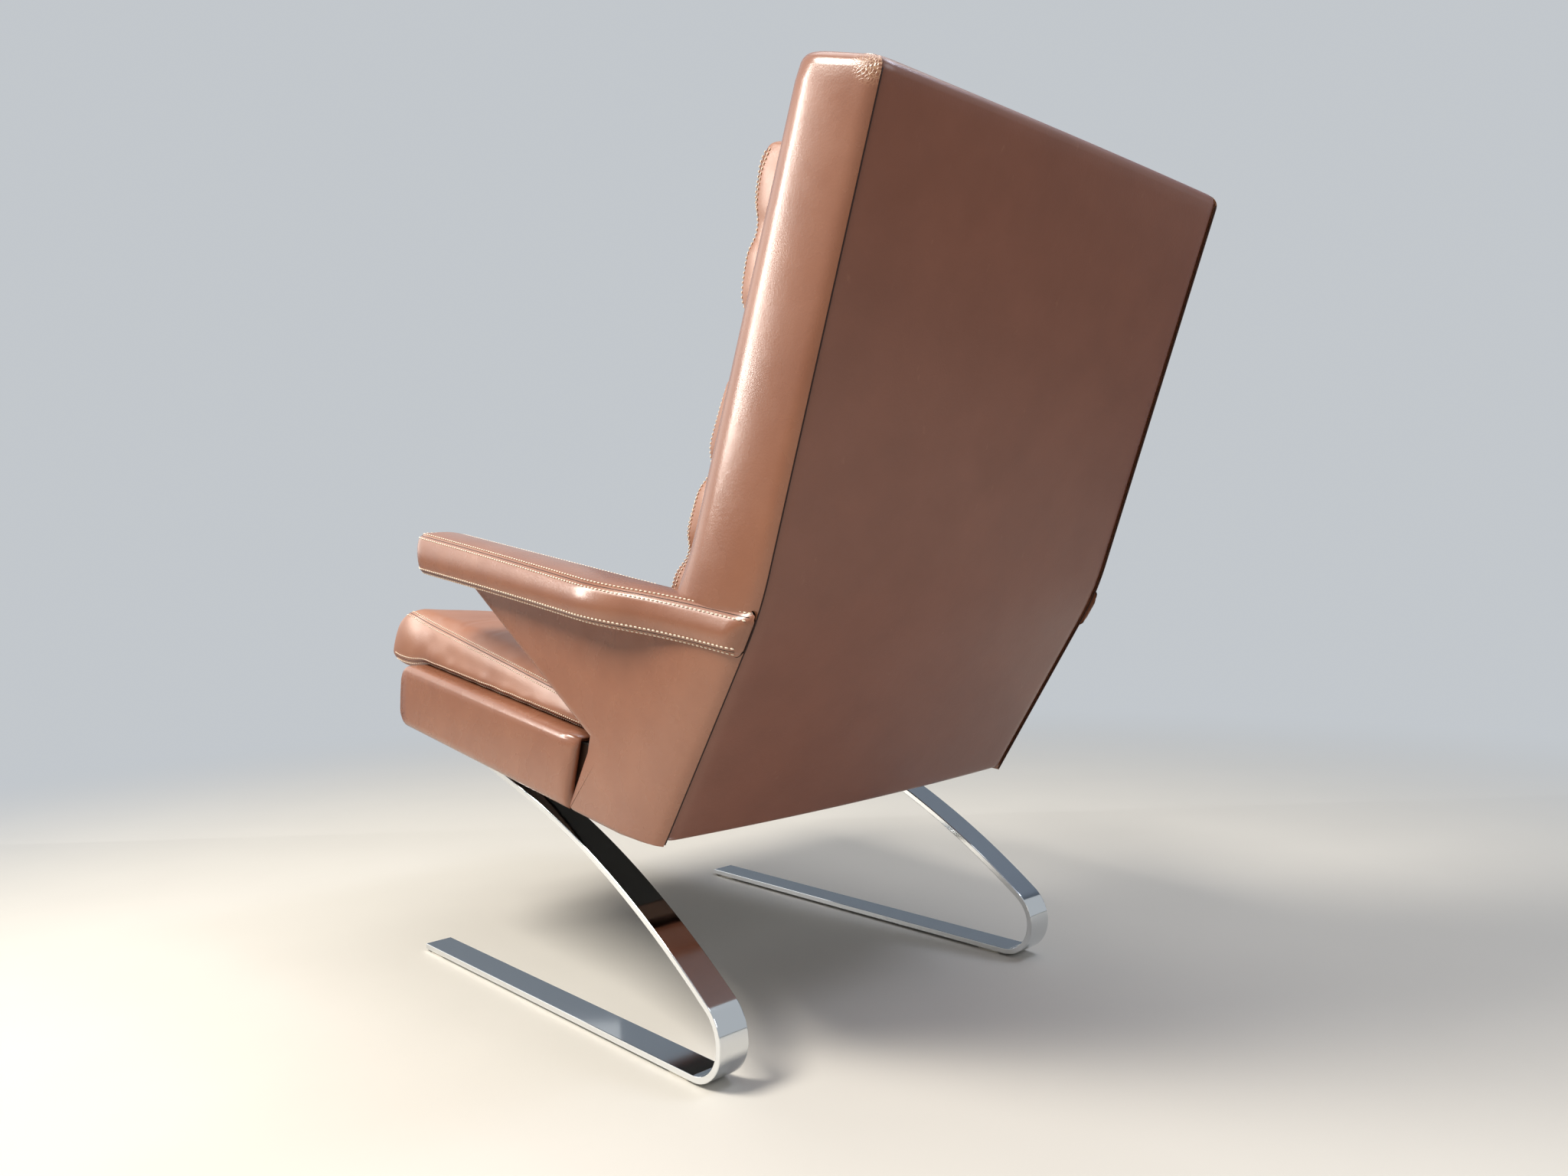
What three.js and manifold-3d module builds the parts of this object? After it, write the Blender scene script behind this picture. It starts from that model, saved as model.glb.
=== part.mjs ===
import * as THREE from 'three';
import { mergeVertices } from 'three/addons/utils/BufferGeometryUtils.js';
import Module from 'manifold-3d';

const wasm = await Module();
wasm.setup();

// Cantilever lounge chair with a high back on two flat steel skids.
// Lengths are millimetres. X runs across the chair, Y from its front to its back, Z up.
// Side outlines are drawn as (y, z) pairs, with y counted from the skids' front tips.

// Skids: flat spring steel, floor runner, heel bend, long upward sweep and straight top
const skidSpan = 600;
const skidWidth = 40;
const skidThickness = 8;
const skidEdgeEase = 0.8;
const glideHeight = 2.5;
const glideLength = 38;
const glideMargin = 2;
const glideCornerRadius = 4;
const glideTipInset = 12;
const glideHeelInset = 9;
const runnerLength = 647;
const heelRadius = 50.5;
const sweepRadius = 1150;
const sweepStartAngle = THREE.MathUtils.degToRad(37);
const sweepEndAngle = THREE.MathUtils.degToRad(16.5);
const sweepRunLength = 120;
const topBendRadius = 300;
const seatPitch = THREE.MathUtils.degToRad(8.3);
const topPlateLength = 130;
const mountPlateThickness = 4;
const mountPlateMargin = 2;

// Fasteners between skids, plates and seat rails
const boltRadius = 4;
const boltHeadRadius = 8;
const boltHeadHeight = 4.5;
const boltSpacing = 76;
const boltFrontInset = 27;
const boltClearance = 0.4;
const boltGrip = 26;
const panelBoltInset = 38;
const panelBoltSpacing = 30;
const panelBoltRise = 41.5;
const panelBoltReach = 12;

// Clearances
const gap = 0.3;
const seamGap = 2;
const cutOverrun = 6;

// Seat box: padded leather wrap over a hardwood frame
const seatWidth = 620;
const seatFrontOverhang = 74.2;
const seatSkirtDrop = 14.5;
const seatSkirtClearance = 1;
const seatBoxRear = 429;
const seatBoxRearLean = 11;
const seatBoxEdgeRadius = 24;
const seatBoxCornerEase = 6;
const seatPadThickness = 15;
const seatTopThickness = 7;
const railThickness = 34;
const railHeight = 67.5;
const railRearClearance = 5;
const railRearHeight = 62;
const crossRailThickness = 24;
const webbingThickness = 3;
const webbingSlots = 6;
const webbingSlotLengthShare = 0.62;
const dustCoverThickness = 1.5;

// Seat cushion: a wedge that is thick at its front and rolls over the box's front edge
const seatCushionWidth = 576;
const seatCushionOverhang = 85;
const seatCushionRear = 534;
const seatCushionFrontHeight = 82;
const seatCushionRearHeight = 35;
const seatCushionCrown = 8;
const seatCushionFrontDip = 20;
const seatCushionNose = 56;
const seatCushionSag = 17;
const seatCushionDrawIn = 6;
const seatCushionEdgeRadius = 16;
const seatCushionTail = 30;
const seatCushionTipShare = 0.2;
const seatCushionCornerShare = 0.1;

// Back outline: one bend at armrest height joins the upper and the lower back
const bendDepth = 786;
const bendRise = 191.7;
const upperRecline = THREE.MathUtils.degToRad(20.9);
const lowerRecline = THREE.MathUtils.degToRad(33.6);
const upperBackLength = 519;
const lowerBackLength = 309;

// Side panels: upper band beside the cushions, wing under the armrest and lower plate
const bodyWidth = 636;
const seamSpan = 616;
const plateThickness = 23;
const plateEdgeRadius = 8;
const bandThickness = 47;
const bandDepthLow = 136;
const bandDepthHigh = 121;
const bandFrontRoll = 50;
const bandFrontRollWidth = 40;
const bandRearRoll = 85;
const bandEndRadius = 14;
const bandInnerRadius = 4;
const bandFoot = -165;
const panelSplit = -22;
const wingTipDepth = 160;
const wingTipHeight = 582.5;
const notchDepth = 491;
const notchHeight = 367.5;
const notchLean = 5;
const notchFlat = 17;
const plateFootDepth = 445;
const plateFootHeight = 275.5;
const plateFootRadius = 10;
const plateBottomInset = 68;
const plateBottomRise = 4.5;

// Back panel and the frame behind the cushions
const backPanelThickness = 27;
const backPanelCrown = 6;
const backPanelEdgeRadius = 11;
const backPanelSideRadius = 5;
const backPanelLip = 54;
const backPanelLipThickness = 16;
const stileWidth = 40;
const stileThickness = 22;
const stileTopGap = 13;
const stileFootGap = 35;
const backRailHeight = 46;
const backWebbingInset = 20;
const backSlots = 7;

// Back cushion with sewn channels, and the head cushion above it
const cushionSideGap = 1.5;
const cushionSideEase = 5;
const backCushionLow = -166;
const backCushionDepthLow = 210;
const backCushionDepthHigh = 170;
const backChannelShares = [0.155, 0.388, 0.62, 0.9];
const backChannelDepth = 13;
const headCushionInset = 73;
const headCushionHeight = 178;
const headCushionGap = 4;
const headCushionDepthLow = 180;
const headCushionDepthHigh = 196;
const headCreaseShare = 0.5;
const headCreaseDepth = 12;
const backRowShares = [0.08, 0.27, 0.5, 0.7, 0.8];
const headRowShares = [0.24, 0.76];
const cushionCrown = 10;
const cushionEndRadius = 22;
const cushionEdgeRadius = 10;
const cushionBackEaseShare = 0.4;

// Armrest pads
const armFront = 102;
const armRear = 784;
const armInner = 278;
const armOuterFront = 343;
const armOuterKink = 355;
const armKinkDepth = 574;
const armKinkEase = 40;
const armTaper = 92;
const armOuterRear = 310;
const armTail = 12;
const armTailDraw = 5;
const armCoreOuter = 300;
const armTopFront = 624.5;
const armTopRear = 510.5;
const armBottomFront = 567.5;
const armBottomRear = 468.5;
const armCrown = 5;
const armEdgeRadius = 9;
const armNoseLength = 30;
const armNoseDrawShare = 0.5;

// Colours
const leatherColour = 0x7f4a35;
const leatherShadeColour = 0x6d3f2f;
const steelColour = 0xc9cdd0;
const glideColour = 0xd8d3c4;
const woodColour = 0xb78f5f;
const webbingColour = 0x3a3632;
const clothColour = 0x1d1c1b;
const zincColour = 0xa9adb0;

const leather = { color: leatherColour, roughness: 0.42, metalness: 0 };
const leatherShade = { color: leatherShadeColour, roughness: 0.45, metalness: 0 };
const steel = { color: steelColour, roughness: 0.08, metalness: 1 };
const glidePlastic = { color: glideColour, roughness: 0.6, metalness: 0 };
const wood = { color: woodColour, roughness: 0.7, metalness: 0 };
const webbing = { color: webbingColour, roughness: 0.9, metalness: 0 };
const cloth = { color: clothColour, roughness: 0.95, metalness: 0 };
const zinc = { color: zincColour, roughness: 0.35, metalness: 1 };

const pieces = [];
const sides = [['left', 1], ['right', -1]];

// How finely round forms are divided
const heelSteps = 18;
const sweepSteps = 18;
const topBendSteps = 5;
const rodSides = 16;
const headSides = 24;
const cornerSteps = 3;
const sideSteps = 4;
const coverSteps = 5;
const bandSteps = 7;
const endSteps = 4;
const mergeTolerance = 1e-4;
const arcShares = [0, 0.33, 0.67, 1];
const rollShares = [0, 0.08, 0.2, 0.4, 0.65, 1];
const windowShares = [-1, -0.6, -0.2, 0.2, 0.6, 1];

// General helpers
function addPiece(name, geometry, finish) {
  pieces.push({ name, geometry, finish });
}

function toSolid(geometry) {
  const plain = geometry.clone();
  plain.deleteAttribute('normal');
  plain.deleteAttribute('uv');
  const merged = mergeVertices(plain, mergeTolerance);
  return new wasm.Manifold(new wasm.Mesh({
    numProp: 3,
    vertProperties: new Float32Array(merged.attributes.position.array),
    triVerts: new Uint32Array(merged.index.array),
  }));
}

function fromSolid(solid) {
  const mesh = solid.getMesh();
  const geometry = new THREE.BufferGeometry();
  geometry.setAttribute('position', new THREE.BufferAttribute(new Float32Array(mesh.vertProperties), 3));
  geometry.setIndex(new THREE.BufferAttribute(new Uint32Array(mesh.triVerts), 1));
  geometry.computeVertexNormals();
  return geometry;
}

function cut(body, ...tools) {
  return fromSolid(tools.reduce((solid, tool) => solid.subtract(toSolid(tool)), toSolid(body)));
}

function join(body, ...others) {
  return fromSolid(others.reduce((solid, other) => solid.add(toSolid(other)), toSolid(body)));
}

function meet(body, other) {
  return fromSolid(toSolid(body).intersect(toSolid(other)));
}

function mirrorX(geometry) {
  const copy = geometry.index ? geometry.toNonIndexed() : geometry.clone();
  const position = copy.attributes.position;
  for (let i = 0; i < position.count; i += 3) {
    for (let k = 0; k < 3; k += 1) {
      position.setX(i + k, -position.getX(i + k));
    }
    const second = new THREE.Vector3().fromBufferAttribute(position, i + 1);
    const third = new THREE.Vector3().fromBufferAttribute(position, i + 2);
    position.setXYZ(i + 1, third.x, third.y, third.z);
    position.setXYZ(i + 2, second.x, second.y, second.z);
  }
  copy.deleteAttribute('normal');
  copy.deleteAttribute('uv');
  const merged = mergeVertices(copy, mergeTolerance);
  merged.computeVertexNormals();
  return merged;
}

function onSide(geometry, side) {
  return side > 0 ? geometry : mirrorX(geometry);
}

// A side outline of (y, z) points pulled across the chair from one x to another
function acrossX(points, fromX, toX, ease = 0, steps = 2) {
  const shape = new THREE.Shape(points.map(([y, z]) => new THREE.Vector2(y, z)));
  const geometry = new THREE.ExtrudeGeometry(shape, {
    depth: toX - fromX - 2 * ease,
    bevelEnabled: ease > 0,
    bevelThickness: ease,
    bevelSize: ease,
    bevelOffset: -ease,
    bevelSegments: steps,
  });
  const turn = new THREE.Matrix4().makeBasis(
    new THREE.Vector3(0, 1, 0), new THREE.Vector3(0, 0, 1), new THREE.Vector3(1, 0, 0));
  geometry.applyMatrix4(turn);
  geometry.translate(fromX + ease, 0, 0);
  return geometry;
}

// A closed skin over rings of points, with flat ends filled in the plane that flatten gives
function loft(rings, flatten) {
  const count = rings[0].length;
  const vertices = rings.flat();
  const index = [];
  for (let r = 0; r + 1 < rings.length; r += 1) {
    for (let i = 0; i < count; i += 1) {
      const a = r * count + i;
      const b = r * count + (i + 1) % count;
      index.push(a, b, b + count, a, b + count, a + count);
    }
  }
  for (const [start, isFirst] of [[0, true], [(rings.length - 1) * count, false]]) {
    const flat = rings[start / count].map((point) => new THREE.Vector2(...flatten(point)));
    const swapped = isFirst !== THREE.ShapeUtils.isClockWise(flat);
    for (const [a, b, c] of THREE.ShapeUtils.triangulateShape(flat, [])) {
      index.push(start + a, start + (swapped ? c : b), start + (swapped ? b : c));
    }
  }
  const geometry = new THREE.BufferGeometry();
  geometry.setAttribute('position', new THREE.Float32BufferAttribute(vertices.flat(), 3));
  geometry.setIndex(signedVolume(vertices, index) < 0 ? flipped(index) : index);
  geometry.computeVertexNormals();
  return geometry;
}

function signedVolume(vertices, index) {
  let sum = 0;
  for (let i = 0; i < index.length; i += 3) {
    const [a, b, c] = [0, 1, 2].map((k) => new THREE.Vector3(...vertices[index[i + k]]));
    sum += a.dot(b.cross(c));
  }
  return sum;
}

function flipped(index) {
  const turned = [];
  for (let i = 0; i < index.length; i += 3) {
    turned.push(index[i], index[i + 2], index[i + 1]);
  }
  return turned;
}

// Points of a rounded rectangle in its own plane, counted round from its right side
function roundedRing(halfWidth, halfHeight, radius, perCorner, perSide) {
  const r = Math.min(radius, halfWidth, halfHeight);
  const points = [];
  const corners = [[1, 1], [-1, 1], [-1, -1], [1, -1]];
  corners.forEach(([sx, sy], turn) => {
    for (let i = 0; i <= perCorner; i += 1) {
      const angle = (turn + i / perCorner) * Math.PI / 2;
      points.push([
        sx * (halfWidth - r) + r * Math.cos(angle),
        sy * (halfHeight - r) + r * Math.sin(angle),
      ]);
    }
    const [nx, ny] = corners[(turn + 1) % corners.length];
    const start = points[points.length - 1];
    const end = [
      nx * (halfWidth - r) + r * Math.cos((turn + 1) * Math.PI / 2),
      ny * (halfHeight - r) + r * Math.sin((turn + 1) * Math.PI / 2),
    ];
    for (let i = 1; i < perSide; i += 1) {
      points.push([0, 1].map((k) => start[k] + (end[k] - start[k]) * i / perSide));
    }
  });
  return points;
}

function mix(from, to, share) {
  return from + (to - from) * share;
}

function bump(share, sharpness) {
  return 1 - Math.abs(share) ** sharpness;
}

// Skid: its outer face worked out from runner, heel, sweep, straight run and top bend
function arcEnd(start, radius, fromSlope, toSlope) {
  return {
    y: start.y - radius * (Math.sin(fromSlope) - Math.sin(toSlope)),
    z: start.z + radius * (Math.cos(toSlope) - Math.cos(fromSlope)),
  };
}

function runEnd(start, length, slope) {
  return { y: start.y - length * Math.cos(slope), z: start.z + length * Math.sin(slope) };
}

const heelCentre = { y: runnerLength, z: glideHeight + heelRadius };
const sweepStart = {
  y: heelCentre.y + heelRadius * Math.sin(sweepStartAngle),
  z: heelCentre.z + heelRadius * Math.cos(sweepStartAngle),
};
const sweepEnd = arcEnd(sweepStart, sweepRadius, sweepStartAngle, sweepEndAngle);
const topBendStart = runEnd(sweepEnd, sweepRunLength, sweepEndAngle);
const plateStart = arcEnd(topBendStart, topBendRadius, sweepEndAngle, seatPitch);
const plateEnd = runEnd(plateStart, topPlateLength, seatPitch);
const bendHeight = plateStart.z + bendRise;
const heelTurn = Math.PI - sweepStartAngle;

// A point on the outer face above the heel, with the way into the steel
function upperStation(point, slope) {
  return { ...point, ny: -Math.sin(slope), nz: -Math.cos(slope) };
}

function skidStations() {
  const stations = [{ y: 0, z: glideHeight, ny: 0, nz: 1 }];
  for (let i = 0; i <= heelSteps; i += 1) {
    const angle = heelTurn * i / heelSteps;
    stations.push({
      y: heelCentre.y + heelRadius * Math.sin(angle),
      z: heelCentre.z - heelRadius * Math.cos(angle),
      ny: -Math.sin(angle),
      nz: Math.cos(angle),
    });
  }
  for (let i = 1; i <= sweepSteps; i += 1) {
    const slope = mix(sweepStartAngle, sweepEndAngle, i / sweepSteps);
    stations.push(upperStation(arcEnd(sweepStart, sweepRadius, sweepStartAngle, slope), slope));
  }
  for (let i = 0; i <= topBendSteps; i += 1) {
    const slope = mix(sweepEndAngle, seatPitch, i / topBendSteps);
    stations.push(upperStation(arcEnd(topBendStart, topBendRadius, sweepEndAngle, slope), slope));
  }
  stations.push(upperStation(plateEnd, seatPitch));
  return stations;
}

// Seat plane: the skids' straight tops carry everything above them
function alongSeat(depth, rise) {
  const along = (depth - plateStart.y) / Math.cos(seatPitch);
  return [
    plateStart.y + along * Math.cos(seatPitch) + rise * Math.sin(seatPitch),
    plateStart.z - along * Math.sin(seatPitch) + rise * Math.cos(seatPitch),
  ];
}

const boxBase = mountPlateThickness + 2 * gap;
const skidInner = skidSpan / 2 - skidWidth;
const skidMiddle = skidSpan / 2 - skidWidth / 2;
const heelGlideFront = runnerLength - glideHeelInset - glideLength;
const boltDepths = [0, 1].map((k) => plateEnd.y + boltFrontInset + k * boltSpacing);

function skid() {
  const stations = skidStations();
  const outer = stations.map(({ y, z }) => [y, z]);
  const inner = stations.map(({ y, z, ny, nz }) => [y + skidThickness * ny, z + skidThickness * nz]);
  const strip = acrossX([...outer, ...inner.reverse()], skidInner, skidSpan / 2, skidEdgeEase, 1);
  return cut(strip, ...boltDepths.map((depth) => boltHole(depth, -skidThickness - cutOverrun, cutOverrun)));
}

// A round rod standing square to the seat plane under the middle of a skid's top
function seatRod(depth, low, high, radius, sideCount = rodSides) {
  const rod = new THREE.CylinderGeometry(radius, radius, high - low, sideCount);
  rod.rotateX(Math.PI / 2);
  rod.translate(0, 0, (low + high) / 2);
  rod.rotateX(-seatPitch);
  const [y, z] = alongSeat(depth, 0);
  rod.translate(skidMiddle, y, z);
  return rod;
}

function boltHole(depth, low, high) {
  return seatRod(depth, low, high, boltRadius + boltClearance);
}

function bolt(depth) {
  const underside = -skidThickness - gap;
  const shank = seatRod(depth, underside - boltHeadHeight / 2, boltGrip, boltRadius);
  const head = seatRod(depth, underside - boltHeadHeight, underside, boltHeadRadius, headSides);
  return join(shank, head);
}

// A thin square pad under the runner, from one depth back
function glide(front) {
  const halfWidth = skidWidth / 2 - glideMargin;
  const pad = roundedRing(halfWidth, glideLength / 2, glideCornerRadius, cornerSteps, 1);
  const middle = front + glideLength / 2;
  const rings = [0, glideHeight - gap].map((z) => pad.map(([x, y]) => [skidMiddle + x, middle + y, z]));
  return loft(rings, ([x, y]) => [x, y]);
}

function mountPlate() {
  const inset = mountPlateMargin;
  const front = plateEnd.y + inset;
  const rear = plateStart.y - inset;
  const outline = [
    alongSeat(front, gap),
    alongSeat(rear, gap),
    alongSeat(rear, gap + mountPlateThickness),
    alongSeat(front, gap + mountPlateThickness),
  ];
  const plate = acrossX(outline, skidInner + inset, skidSpan / 2 - inset);
  return cut(plate, ...boltDepths.map((depth) => boltHole(depth, -cutOverrun, boxBase + cutOverrun)));
}

// Seat rails inside the box: sides run on between the side panels, short of the back panel's lip
const boxHalf = seatWidth / 2;
const seatBoxFront = plateEnd.y - seatFrontOverhang;
const railOuter = boxHalf - seatPadThickness - gap;
const railInner = railOuter - railThickness;
const railFront = seatBoxFront + seatPadThickness + gap;
const railTop = boxBase + railHeight;
const railRearLow = railTop - railRearHeight;
const [backEdgeY, backEdgeZ] = alongSeat(seatBoxRear, railRearLow);
const backEdgeDepth = (bendDepth - backEdgeY) * Math.cos(lowerRecline)
  - (bendHeight - backEdgeZ) * Math.sin(lowerRecline);
const closing = Math.cos(lowerRecline) + Math.tan(seatPitch) * Math.sin(lowerRecline);
const railRearReach = seatBoxRear + (backEdgeDepth - backPanelLip - railRearClearance) / closing;
const panelBoltDepths = [1, 0].map((k) => railRearReach - panelBoltInset - k * panelBoltSpacing);

function sideRail() {
  const outline = [
    alongSeat(railFront, boxBase),
    alongSeat(seatBoxRear, boxBase),
    alongSeat(railRearReach, railRearLow),
    alongSeat(railRearReach, railTop),
    alongSeat(railFront, railTop),
  ];
  const rail = acrossX(outline, railInner, railOuter);
  const holes = boltDepths.map((depth) => boltHole(depth, 0, boltGrip + 2 * boltClearance));
  return cut(rail, ...holes, ...panelBoltDepths.map((depth) => panelBoltHole(depth, cutOverrun)));
}

// A round rod across the chair through a seat rail and into the side panel's plate
function panelRod(depth, fromX, toX, radius, sideCount = rodSides) {
  const rod = new THREE.CylinderGeometry(radius, radius, toX - fromX, sideCount);
  rod.rotateZ(Math.PI / 2);
  const [y, z] = alongSeat(depth, panelBoltRise);
  rod.translate((fromX + toX) / 2, y, z);
  return rod;
}

function panelBoltHole(depth, reach) {
  return panelRod(depth, railInner - cutOverrun, railOuter + reach, boltRadius + boltClearance);
}

function panelBolt(depth) {
  const seat = railInner - gap;
  const shank = panelRod(depth, seat - boltHeadHeight / 2, railOuter + panelBoltReach, boltRadius);
  const head = panelRod(depth, seat - boltHeadHeight, seat, boltHeadRadius, headSides);
  return join(shank, head);
}

function crossRail(front, low) {
  const outline = [
    alongSeat(front, low),
    alongSeat(front + crossRailThickness, low),
    alongSeat(front + crossRailThickness, railTop),
    alongSeat(front, railTop),
  ];
  const half = railInner - gap;
  return acrossX(outline, -half, half);
}

// Straps as a sheet of a side outline, with slots that run across the chair
function slottedSheet(outline, place, start, end, low, high, half, slots) {
  const pitch = (end - start) / (slots + 1);
  const slotHalf = pitch * webbingSlotLengthShare / 2;
  const tools = Array.from({ length: slots }, (_, i) => {
    const middle = start + pitch * (i + 1);
    return acrossX([
      place(middle - slotHalf, low - cutOverrun),
      place(middle + slotHalf, low - cutOverrun),
      place(middle + slotHalf, high + cutOverrun),
      place(middle - slotHalf, high + cutOverrun),
    ], pitch / 2 - half, half - pitch / 2);
  });
  return cut(acrossX(outline, -half, half), ...tools);
}

function seatWebbing() {
  const low = railTop + gap;
  const high = low + webbingThickness;
  const outline = [
    alongSeat(railFront, low),
    alongSeat(railRearReach, low),
    alongSeat(railRearReach, high),
    alongSeat(railFront, high),
  ];
  return slottedSheet(outline, alongSeat, railFront, railRearReach, low, high, railOuter, webbingSlots);
}

// Seat box cover: a padded wrap, open below and behind, whose skirt hides the skids' tops
const coverTop = railTop + gap + webbingThickness + gap + seatTopThickness;
const skirtBase = boxBase - seatSkirtDrop;

function arcPoints(centre, radius, fromAngle, toAngle, steps) {
  return Array.from({ length: steps + 1 }, (_, i) => {
    const angle = mix(fromAngle, toAngle, i / steps);
    return [centre[0] + radius * Math.cos(angle), centre[1] + radius * Math.sin(angle)];
  });
}

function coverHollow(low, high, half) {
  return acrossX([
    alongSeat(railFront - gap, low),
    alongSeat(seatBoxRear + railHeight, low),
    alongSeat(seatBoxRear + railHeight, high),
    alongSeat(railFront - gap, high),
  ], -half, half);
}

function seatCover() {
  const r = seatBoxEdgeRadius;
  const topFront = arcPoints([seatBoxFront + r, coverTop - r], r, Math.PI / 2, Math.PI, coverSteps);
  const lowFront = arcPoints([seatBoxFront + r, skirtBase + r], r, Math.PI, 1.5 * Math.PI, coverSteps);
  const outline = [
    ...topFront,
    ...lowFront,
    [seatBoxRear - seatBoxRearLean, skirtBase],
    [seatBoxRear + seatBoxRearLean, coverTop],
  ].map(([y, rise]) => alongSeat(y, rise));
  const wrap = acrossX(outline, -boxHalf, boxHalf, seatBoxCornerEase, 3);
  const skirtHalf = skidSpan / 2 + seatSkirtClearance;
  return cut(
    wrap,
    coverHollow(skirtBase - cutOverrun, railTop + 2 * gap + webbingThickness, railOuter + gap),
    coverHollow(skirtBase - cutOverrun, boxBase, skirtHalf),
  );
}

const dustRear = railRearLow - gap;

function dustCover() {
  const half = skidInner - mountPlateMargin;
  const front = railFront + crossRailThickness / 2;
  const rear = railRearReach - crossRailThickness - gap;
  const outline = [
    alongSeat(front, boxBase - gap - dustCoverThickness),
    alongSeat(seatBoxRear, boxBase - gap - dustCoverThickness),
    alongSeat(rear, dustRear - dustCoverThickness),
    alongSeat(rear, dustRear),
    alongSeat(seatBoxRear, boxBase - gap),
    alongSeat(front, boxBase - gap),
  ];
  return acrossX(outline, -half, half);
}

// Back outline: along runs up the back from its bend, depth runs forward from its rear face
function recline(along) {
  return along < 0 ? lowerRecline : upperRecline;
}

function alongBack(along, depth) {
  const lean = recline(along);
  return [
    bendDepth + along * Math.sin(lean) - depth * Math.cos(lean),
    bendHeight + along * Math.cos(lean) + depth * Math.sin(lean),
  ];
}

// Upper back carried on in a straight line below the bend, as the loose cushions lie
function alongCushion(along, depth) {
  return [
    bendDepth + along * Math.sin(upperRecline) - depth * Math.cos(upperRecline),
    bendHeight + along * Math.cos(upperRecline) + depth * Math.sin(upperRecline),
  ];
}

// Corner of a line that runs at one depth round the bend
function backBend(depth) {
  const middle = (upperRecline + lowerRecline) / 2;
  const reach = depth / Math.cos((lowerRecline - upperRecline) / 2);
  return [bendDepth - reach * Math.cos(middle), bendHeight + reach * Math.sin(middle)];
}

// A strip that follows the back between two depths
function backStrip(low, high, rear, front) {
  return [
    alongBack(low, rear),
    backBend(rear),
    alongBack(high, rear),
    alongBack(high, front),
    backBend(front),
    alongBack(low, front),
  ];
}

// Armrest pad: rounded sections set along its length, flush with the side panel at its rear
function armOuterLine(depth) {
  const share = Math.max(0, depth - armFront) / (armKinkDepth - armFront);
  return depth < armKinkDepth
    ? mix(armOuterFront, armOuterKink, share * share)
    : mix(armOuterRear, armOuterKink, Math.exp((armKinkDepth - depth) / armTaper));
}

function armOuter(depth) {
  const around = windowShares.map((share) => armOuterLine(depth + share * armKinkEase));
  return around.reduce((sum, x) => sum + x, 0) / around.length;
}

function armPad(grow) {
  const noseShares = [0, 0.04, 0.14, 0.3, 0.5, 0.75, 1];
  const bodyShares = [0.12, 0.25, 0.38, 0.5, 0.6, 0.64, 0.66, 0.68, 0.7, 0.72, 0.76, 0.8, 0.85, 0.9, 0.95];
  const tailShares = [0, 0.5, 0.8, 1];
  const nose = noseShares.map((share) => armFront + armNoseLength * share);
  const body = bodyShares.map((share) => mix(armFront + armNoseLength, armRear, share));
  const tail = tailShares.map((share) => armRear - armTail * (1 - share));
  const rings = [...nose, ...body, ...tail].map((depth) => {
    const share = (depth - armFront) / (armRear - armFront);
    const noseShare = Math.min(1, (depth - armFront) / armNoseLength);
    const draw = armNoseLength * (1 - Math.sqrt(1 - (1 - noseShare) ** 2)) * armNoseDrawShare;
    const inner = armInner + draw - grow;
    const tailShare = Math.max(0, 1 - (armRear - depth) / armTail);
    const outer = armOuter(depth) - draw - armTailDraw * (1 - Math.sqrt(1 - tailShare ** 2)) + grow;
    const top = mix(armTopFront, armTopRear, share) + grow;
    const bottom = mix(armBottomFront, armBottomRear, share) - grow;
    const end = share === 0 ? -grow : (share === 1 ? grow : 0);
    const halfWidth = (outer - inner) / 2;
    const halfHeight = (top - bottom) / 2;
    const ring = roundedRing(halfWidth, halfHeight, armEdgeRadius, cornerSteps, cornerSteps);
    return ring.map(([x, h]) => {
      const crown = h > 0 ? armCrown * bump(x / halfWidth, 2) * noseShare : 0;
      const lean = (h - halfHeight) * Math.tan(lowerRecline) * share ** 4;
      return [(outer + inner) / 2 + x, depth + end + lean, (top + bottom) / 2 + h + crown];
    });
  });
  return loft(rings, ([x, , z]) => [x, z]);
}

// The inner part of the side panel that runs past the pad's inner side
function armCore(grow) {
  const depths = [bandDepthLow + grow, -cutOverrun];
  const outline = [
    alongBack(-2 * bandDepthLow, depths[1]),
    backBend(depths[1]),
    alongBack(bandDepthLow, depths[1]),
    alongBack(bandDepthLow, depths[0]),
    alongCushion(-bandDepthLow, depths[0]),
  ];
  return acrossX(outline, 0, armCoreOuter + grow);
}

function armrest() {
  return cut(armPad(0), armCore(gap), rebate());
}

// Side panel: plate with its wing, and the thicker band beside the back cushions
const bodyHalf = bodyWidth / 2;
const seamHalf = seamSpan / 2;
const backPanelHalf = seamHalf - seamGap;
const bandInner = bodyHalf - bandThickness;

// The room that the back panel takes between the seams
function rebate() {
  const beyond = backPanelThickness + cutOverrun;
  const low = -lowerBackLength - beyond;
  const high = upperBackLength + beyond;
  return acrossX(backStrip(low, high, -beyond, backPanelThickness + gap), 0, seamHalf);
}

// Outer face of the side panel against its depth: it rolls in towards the seam behind
function panelFace(depth, roll = bandRearRoll) {
  const short = Math.max(0, 1 - depth / roll);
  return mix(bodyHalf, seamHalf, short * short);
}

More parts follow.
